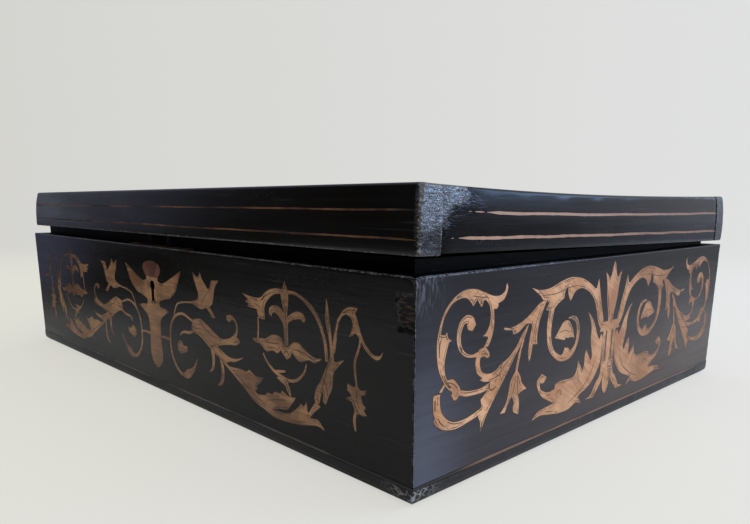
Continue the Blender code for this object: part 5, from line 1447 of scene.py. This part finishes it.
def right_wear(look, place):
    """Bare flecks at both upright corners and along the rim."""
    _, y, z = look.parts(look.place)
    slope = look.math("MULTIPLY", look.math("SUBTRACT", CASE_HEIGHT, z), SIDE_LEAN / CASE_HEIGHT)
    edge = look.math("ADD", look.math("ABSOLUTE", y), slope)
    fleck = look.noise(look.place, 900, 3, 0.6)
    arris = look.map_range(edge, HALF_WIDTH - 0.0011, HALF_WIDTH - 0.0002)
    rim = look.map_range(z, CASE_HEIGHT - 0.0011, CASE_HEIGHT - 0.0001)
    near = look.map_range(y, 0.02, -0.075)
    rim = look.math("MULTIPLY", rim, look.math("ADD", look.math("MULTIPLY", near, 0.5), 0.5))
    worn = look.math("MAXIMUM", arris, rim)
    bare = look.map_range(look.math("MULTIPLY", worn, fleck), 0.40, 0.52)
    top = look.math("MULTIPLY", look.map_range(y, -0.096, -0.1105), look.map_range(z, 0.050, 0.0625))
    hatch = look.noise(look.stretched(look.place, (1, 1300, 260)), 1, 3, 0.6)
    hatch = look.math("MULTIPLY", look.map_range(hatch, 0.46, 0.62), top)
    bare = look.math("MAXIMUM", look.math("MULTIPLY", bare, 0.8), look.math("MULTIPLY", hatch, 0.65))
    return bare, (0.20, 0.21, 0.25)


def base_wear(look, place):
    """The foot is crackled pale under the near corner, and knocked less at the others."""
    x, y, z = look.parts(look.place)
    corner = look.math("ADD", look.math("ABSOLUTE", x), look.math("ABSOLUTE", y))
    corner = look.map_range(corner, HALF_LENGTH + HALF_WIDTH - 0.020, HALF_LENGTH + HALF_WIDTH - 0.006)
    near = look.math("MULTIPLY", look.map_range(x, 0, 0.1), look.map_range(y, 0, -0.08))
    corner = look.math("MULTIPLY", corner, look.map_range(near, 0, 1, 0.35, 1.0))
    cells = look.voronoi(look.stretched(look.place, (430, 430, 700)), 1, "DISTANCE_TO_EDGE")
    cracks = look.map_range(cells, 0.16, 0.03)
    fleck = look.noise(look.place, 500, 4, 0.65)
    cracks = look.math("MULTIPLY", cracks, look.map_range(fleck, 0.36, 0.56))
    foot = look.map_range(z, 0.0016, 0.0002)
    low = look.map_range(look.math("MULTIPLY", foot, fleck), 0.40, 0.52)
    bare = look.math("MAXIMUM", look.math("MULTIPLY", cracks, corner), look.math("MULTIPLY", low, 0.5))
    return bare, (0.34, 0.335, 0.33)


def lid_wrinkle(look, place):
    """Crazed, wrinkled polish on the lid near its front right corner."""
    x, y, z = look.parts(look.place)
    face = look.map_range(x, LID_HALF_LENGTH - 0.0020, LID_HALF_LENGTH - 0.0008)
    ragged = look.noise(look.stretched(look.place, (1, 70, 160)), 1, 3)
    reach = look.math("ADD", y, look.math("MULTIPLY", ragged, 0.03))
    high = look.map_range(z, 0.072, 0.086)
    reach = look.math("SUBTRACT", reach, look.math("MULTIPLY", high, 0.015))
    near = look.map_range(reach, -0.078, -0.096)
    near = look.math("MULTIPLY", near, look.math("ADD", look.math("MULTIPLY", high, 0.15), 0.85))
    return look.math("MULTIPLY", face, near)


def lid_side_wear(look, place):
    """Rubbed pale specks along the top edge, the foot and the joint with the front rail."""
    x, y, z = look.parts(look.place)
    face = look.map_range(look.math("ABSOLUTE", x), LID_HALF_LENGTH - 0.0016, LID_HALF_LENGTH - 0.0004)
    level = look.math("SUBTRACT", z, look.math("MULTIPLY", y, -0.0145))
    top = look.map_range(level, 0.0862, 0.0874)
    joint = look.map_range(look.math("ABSOLUTE", look.math("ADD", y, 0.1012)), 0.0008, 0.0001)
    foot = look.map_range(level, 0.0686, 0.0680)
    worn = look.math("MULTIPLY", look.math("MAXIMUM", look.math("MAXIMUM", top, foot), joint), face)
    fleck = look.noise(look.place, 760, 3, 0.6)
    bare = look.map_range(look.math("MULTIPLY", worn, fleck), 0.44, 0.54)
    return look.math("MULTIPLY", bare, 0.6), (0.19, 0.185, 0.19)


def lid_front_wear(look, place):
    x, y, z = look.parts(look.place)
    fleck = look.noise(look.place, 1300, 3, 0.6)
    side = look.map_range(look.math("ABSOLUTE", x), LID_HALF_LENGTH - 0.0016, LID_HALF_LENGTH - 0.0002)
    corner = look.math("MULTIPLY", side, look.map_range(y, -0.1080, -0.1092))
    joint = look.math("MULTIPLY", side, look.map_range(y, -0.1022, -0.1014))
    face = look.map_range(look.math("ABSOLUTE", look.math("ADD", y, 0.0008)), 0.1082, 0.1092)
    face = look.math("MAXIMUM", face, side)
    tilt = look.math("MULTIPLY", look.math("SUBTRACT", AXIS_Y, y), math.tan(LID_AJAR))
    level = look.math("SUBTRACT", look.math("SUBTRACT", z, tilt), AXIS_HEIGHT)
    foot = look.math("MULTIPLY", look.map_range(level, 0.0014, 0.0007), face)
    worn = look.math("MAXIMUM", look.math("MAXIMUM", corner, foot), joint)
    bare = look.map_range(look.math("MULTIPLY", worn, fleck), 0.50, 0.60)
    tint = look.mix_colour(fleck, (0.13, 0.09, 0.07), (0.32, 0.31, 0.33))
    return look.math("MULTIPLY", bare, 0.75), tint


def front_veil(look):
    """Old polish over the inlay's upper part at the far end, dull and reddish."""
    x, _, z = look.parts(look.place)
    cloud = look.math("MULTIPLY", look.math("SUBTRACT", look.noise(look.place, 60, 3), 0.5), 0.02)
    far = look.map_range(look.math("ADD", x, cloud), -0.062, -0.120)
    high = look.map_range(look.math("ADD", z, cloud), 0.028, 0.048)
    return look.math("MULTIPLY", look.math("MULTIPLY", far, high), 0.82), (0.050, 0.025, 0.027)


def lid_lower_grey(look, tone):
    """A lighter grey on the lower half of the lid's side, towards the back."""
    _, y, z = look.parts(look.place)
    share = look.math("MULTIPLY", look.map_range(y, -0.06, 0.08), look.map_range(z, 0.084, 0.074))
    return look.mix_colour(share, (0, 0, 0), (0.027, 0.027, 0.032))


def front_painted_reflection(look, tone):
    """A thin painted reflection at the far end, blue above where the wall is reflected and olive below where the floor
    is, and faint low in the middle.
    """
    x, _, z = look.parts(look.place)
    low = look.map_range(z, 0.046, 0.020)
    # painted reflection: blue of the wall above, olive of the floor below
    reflection_tint = look.mix_colour(low, (0.044, 0.047, 0.078), (0.054, 0.054, 0.039))
    far = look.map_range(x, -0.040, -0.150)
    middle = look.math("MULTIPLY", look.map_range(x, 0.09, -0.04), look.math("MULTIPLY", low, 0.3))
    share = look.math("MAXIMUM", far, middle)
    clouded = look.map_range(tone, 0.25, 0.75, 0.75, 1.2)
    return look.mix_colour(1.0, reflection_tint, look.grey(look.math("MULTIPLY", clouded, share)), blend="MULTIPLY")


def right_bloom_and_reflection(look, tone):
    """A bloom on the polish with painted reflection in it: bluish at the near end as from the window, warmer at the far
    end, and lighter towards the bottom as a painted floor reflection.
    """
    _, y, z = look.parts(look.place)
    far = look.map_range(y, -0.08, 0.06)
    reflection_tint = look.mix_colour(far, (0.025, 0.0230, 0.0245), (0.052, 0.0390, 0.0315))
    corner = look.map_range(y, -0.078, -0.106)
    reflection_tint = look.mix_colour(corner, reflection_tint, (0.046, 0.049, 0.063))
    clouded = look.map_range(tone, 0.25, 0.75, 0.85, 1.12)
    # painted floor reflection: the tint grows towards the bottom of the face
    high = look.map_range(z, 0.060, 0.012, 0.28, 1.95)
    return look.mix_colour(1.0, reflection_tint, look.grey(look.math("MULTIPLY", clouded, high)), blend="MULTIPLY")


# Colours of each finish
FRONT_BLACK = ((0.0022, 0.0020, 0.0017), (0.0068, 0.0062, 0.0052))
RIGHT_BLACK = ((0.0046, 0.0041, 0.0043), (0.0120, 0.0108, 0.0112))
LID_BLACK = ((0.0016, 0.0014, 0.0014), (0.0046, 0.0042, 0.0042))
LID_SIDE_BLACK = ((0.0022, 0.0023, 0.0028), (0.0065, 0.0068, 0.0085))
FRONT_INLAY = ((0.21, 0.092, 0.035), (0.54, 0.285, 0.125))
RIGHT_INLAY = ((0.55, 0.25, 0.110), (0.90, 0.50, 0.270))
FRONT_STRINGS = ((0.07, 0.026, 0.010), (0.26, 0.11, 0.045))
SIDE_STRINGS = ((0.34, 0.175, 0.105), (0.58, 0.34, 0.225))
FOOT_STRINGS = ((0.075, 0.062, 0.050), (0.15, 0.125, 0.10))
END_FOOT_STRINGS = ((0.17, 0.085, 0.052), (0.30, 0.165, 0.105))
LINING_TONES = ((0.085, 0.036, 0.018), (0.17, 0.078, 0.038))
# Height above which the linings and walls are painted near-black as shade in the gap under the lid
GAP_SHADE_LEVEL = 0.0615
WINDOW = ((0.86, 0.88, 0.42), (0.15, 0.0, 0.05), (0.55, 0.40), 5.5, (0.36, 0.58, 1.0))
CEILING = ((0.1, -0.1, 1.5), (0, 0, 0), (1.6, 1.4), 2.5, (1.0, 0.985, 0.96))

bpy.context.scene.view_settings.view_transform = "Standard"
make_camera()
make_world()
make_floor()
make_area_light("window", *WINDOW)
make_area_light("ceiling", *CEILING)

# Case
for side, axis, blacks, gloss, wear, bloom_and_sheen in (
    ("front", 0, FRONT_BLACK, (0.20, 0.36), front_wear, front_painted_reflection),
    ("right", 1, RIGHT_BLACK, (0.24, 0.38), right_wear, right_bloom_and_reflection),
    ("back", 0, FRONT_BLACK, (0.20, 0.36), front_wear, None),
    ("left", 1, RIGHT_BLACK, (0.30, 0.50), right_wear, None),
):
    look = ebony(side + "_black", axis, *blacks, gloss, 0.18, wear=wear, bloom_and_sheen=bloom_and_sheen, shine=0.28 - 0.15 * axis, shift=0.3 * axis)
    piece = add_piece(side + "_face", build_veneer(side), look, "case")
    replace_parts(piece, side + "_veneer")

dress(ebony("base_black", 0, *FRONT_BLACK, wear=base_wear, shift=2.3), "base_board")
front_inlay = inlaid("front_inlay_wood", 0, *FRONT_INLAY, veil=front_veil)
end_inlay = inlaid("end_inlay_wood", 1, *RIGHT_INLAY, turn=(0.5, 0, 0), fade=(0.60, 0.53, 0.47), shine=0.25)
line_look = ebony("engraved_line", 0, (0.022, 0.012, 0.007), (0.05, 0.028, 0.016))
front_drawing = (FRONT_LEAVES, FRONT_CENTRE_LEAVES, FRONT_STEMS, FRONT_LINES)
build_marquetry("front", *front_drawing, front_inlay, line_look)
build_shell(inlaid("shell_wood", 0, (0.11, 0.040, 0.022), (0.20, 0.075, 0.045)), line_look)
for side in ("right", "left"):
    build_marquetry(side, END_LEAVES, END_CENTRE_LEAVES, END_STEMS, END_LINES, end_inlay, line_look)

for side, axis in (("front", 0), ("right", 1), ("back", 0), ("left", 1)):
    foot_tones = END_FOOT_STRINGS if axis else FOOT_STRINGS
    lost = (-0.074, -0.092) if axis else None
    dress(string_finish(side + "_base_string", axis, *foot_tones, seed=axis, lost=lost), side + "_base_string")
    lining = bare_wood(side + "_lining_wood", axis, *LINING_TONES, (0.35, 0.5), GAP_SHADE_LEVEL)
    dress(lining, side + "_lining")
    carcase = bare_wood(side + "_carcase_wood", axis, (0.03, 0.018, 0.011), (0.075, 0.046, 0.03), gap_shade_above=GAP_SHADE_LEVEL)
    dress(carcase, side + "_wall")

# Lid
lid_looks = {
    "front": ebony("lid_front_black", 0, *LID_BLACK, (0.18, 0.34), 0.15, wear=lid_front_wear, wrinkle=lid_wrinkle),
    "back": ebony("lid_back_black", 0, *LID_BLACK, wear=lid_front_wear, shift=1.1),
    "right": ebony(
        "lid_right_black", 1, *LID_SIDE_BLACK, (0.16, 0.30), 0.3, wear=lid_side_wear, wrinkle=lid_wrinkle,
        bloom_and_sheen=lid_lower_grey, shine=0.13, shift=0.7
    ),
    "left": ebony("lid_left_black", 1, *LID_SIDE_BLACK, (0.18, 0.34), wear=lid_side_wear, shift=1.4),
}
for side, axis in (("front", 0), ("right", 1), ("back", 0), ("left", 1)):
    if axis == 0:
        rail = build_long_rail(side == "front")
        strings = string_finish(side + "_lid_string", axis, *FRONT_STRINGS, broken=(0.42, 0.60), seed=1.7)
    else:
        rail = build_side_rail(1 if side == "right" else -1)
        strings = string_finish(side + "_lid_string", axis, *SIDE_STRINGS, broken=(0.62, 0.8), seed=2.7, fade=(0.6, 0.52, 0.48))
    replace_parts(add_piece(f"lid_{side}_edge", rail, lid_looks[side], "lid"), f"lid_{side}_rail")
    for level, share in zip(("lower", "upper"), LID_STRING_SHARES):
        piece = add_piece(f"lid_{side}_{level}_line", build_lid_string(side, share), strings, "lid", smooth=False)
        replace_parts(piece, f"lid_{side}_{level}_string")
top = add_piece("lid_top", build_lid_top(), ebony("lid_top_black", 0, *LID_BLACK, shift=1.9), "lid")
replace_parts(top, "lid_top_veneer")
dress(string_finish("border_string", 0, *SIDE_STRINGS, broken=(0.5, 0.7)), "lid_border_string")
dress(bare_wood("panel_wood", 0, (0.05, 0.03, 0.018), (0.11, 0.068, 0.042)), "lid_panel")
lid_velvet = velvet("lid_velvet", (0.05, 0.006, 0.010), (0.13, 0.017, 0.024))
floor_velvet = velvet("floor_velvet", (0.055, 0.007, 0.010), (0.14, 0.018, 0.026))
lid_pad = add_piece("lid_pad", build_lid_pad(), lid_velvet, "lid")
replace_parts(lid_pad, "lid_lining")
case_pad = add_piece("case_pad", build_floor_pad(), floor_velvet, "case")
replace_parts(case_pad, "floor_pad")
brass = old_metal("old_brass", (0.60, 0.43, 0.19), (0.20, 0.125, 0.055))
iron = old_metal("old_iron", (0.14, 0.13, 0.12), (0.05, 0.038, 0.03), (0.4, 0.7))
dark_iron = old_metal("dark_iron", (0.035, 0.032, 0.03), (0.018, 0.015, 0.013), (0.5, 0.75))
for side in ("left", "right"):
    dress(brass, f"{side}_hinge_lower_leaf", f"{side}_hinge_upper_leaf", f"{side}_hinge_pin")
dress(old_metal("dull_brass", (0.20, 0.135, 0.062), (0.07, 0.045, 0.022), (0.4, 0.65)), "lock_plate")
dress(iron, "lock_case", "lock_cover", "lock_bolt")
dress(dark_iron, "lock_link_plate")
screw_brass = old_metal("screw_brass", (0.50, 0.35, 0.155), (0.15, 0.095, 0.042))
screw_iron = old_metal("screw_iron", (0.12, 0.105, 0.095), (0.035, 0.028, 0.024), (0.35, 0.6))
# Dirt and painted shade for the screw slots, which are too shallow to shade themselves
slot_dirt_and_shade = old_metal("slot_dirt_and_shade", (0.020, 0.015, 0.012), (0.009, 0.007, 0.006), (0.7, 0.9))
plate_spots = [(["lock_plate"], (x, -0.1067, 0.075), (0, 0, -1)) for x in (-0.0248, 0.0248)]
link_spots = [(["lock_link_plate"], (x, -0.1068, 0.060), (0, 0, 1)) for x in (-0.0155, 0.0155)]
for name, spots, radius, look, body, slot in (
    ("hinge_case_screws", hinge_spots(False), 0.0015, screw_brass, "case", "brass"),
    ("hinge_lid_screws", hinge_spots(True), 0.0015, screw_brass, "lid", "brass"),
    ("lock_screws", plate_spots, 0.0012, screw_brass, "case", "brass"),
    ("link_screws", link_spots, 0.0011, screw_iron, "lid", "iron"),
):
    add_piece(name, build_screws(spots, radius), look, body).data.materials.append(slot_dirt_and_shade)
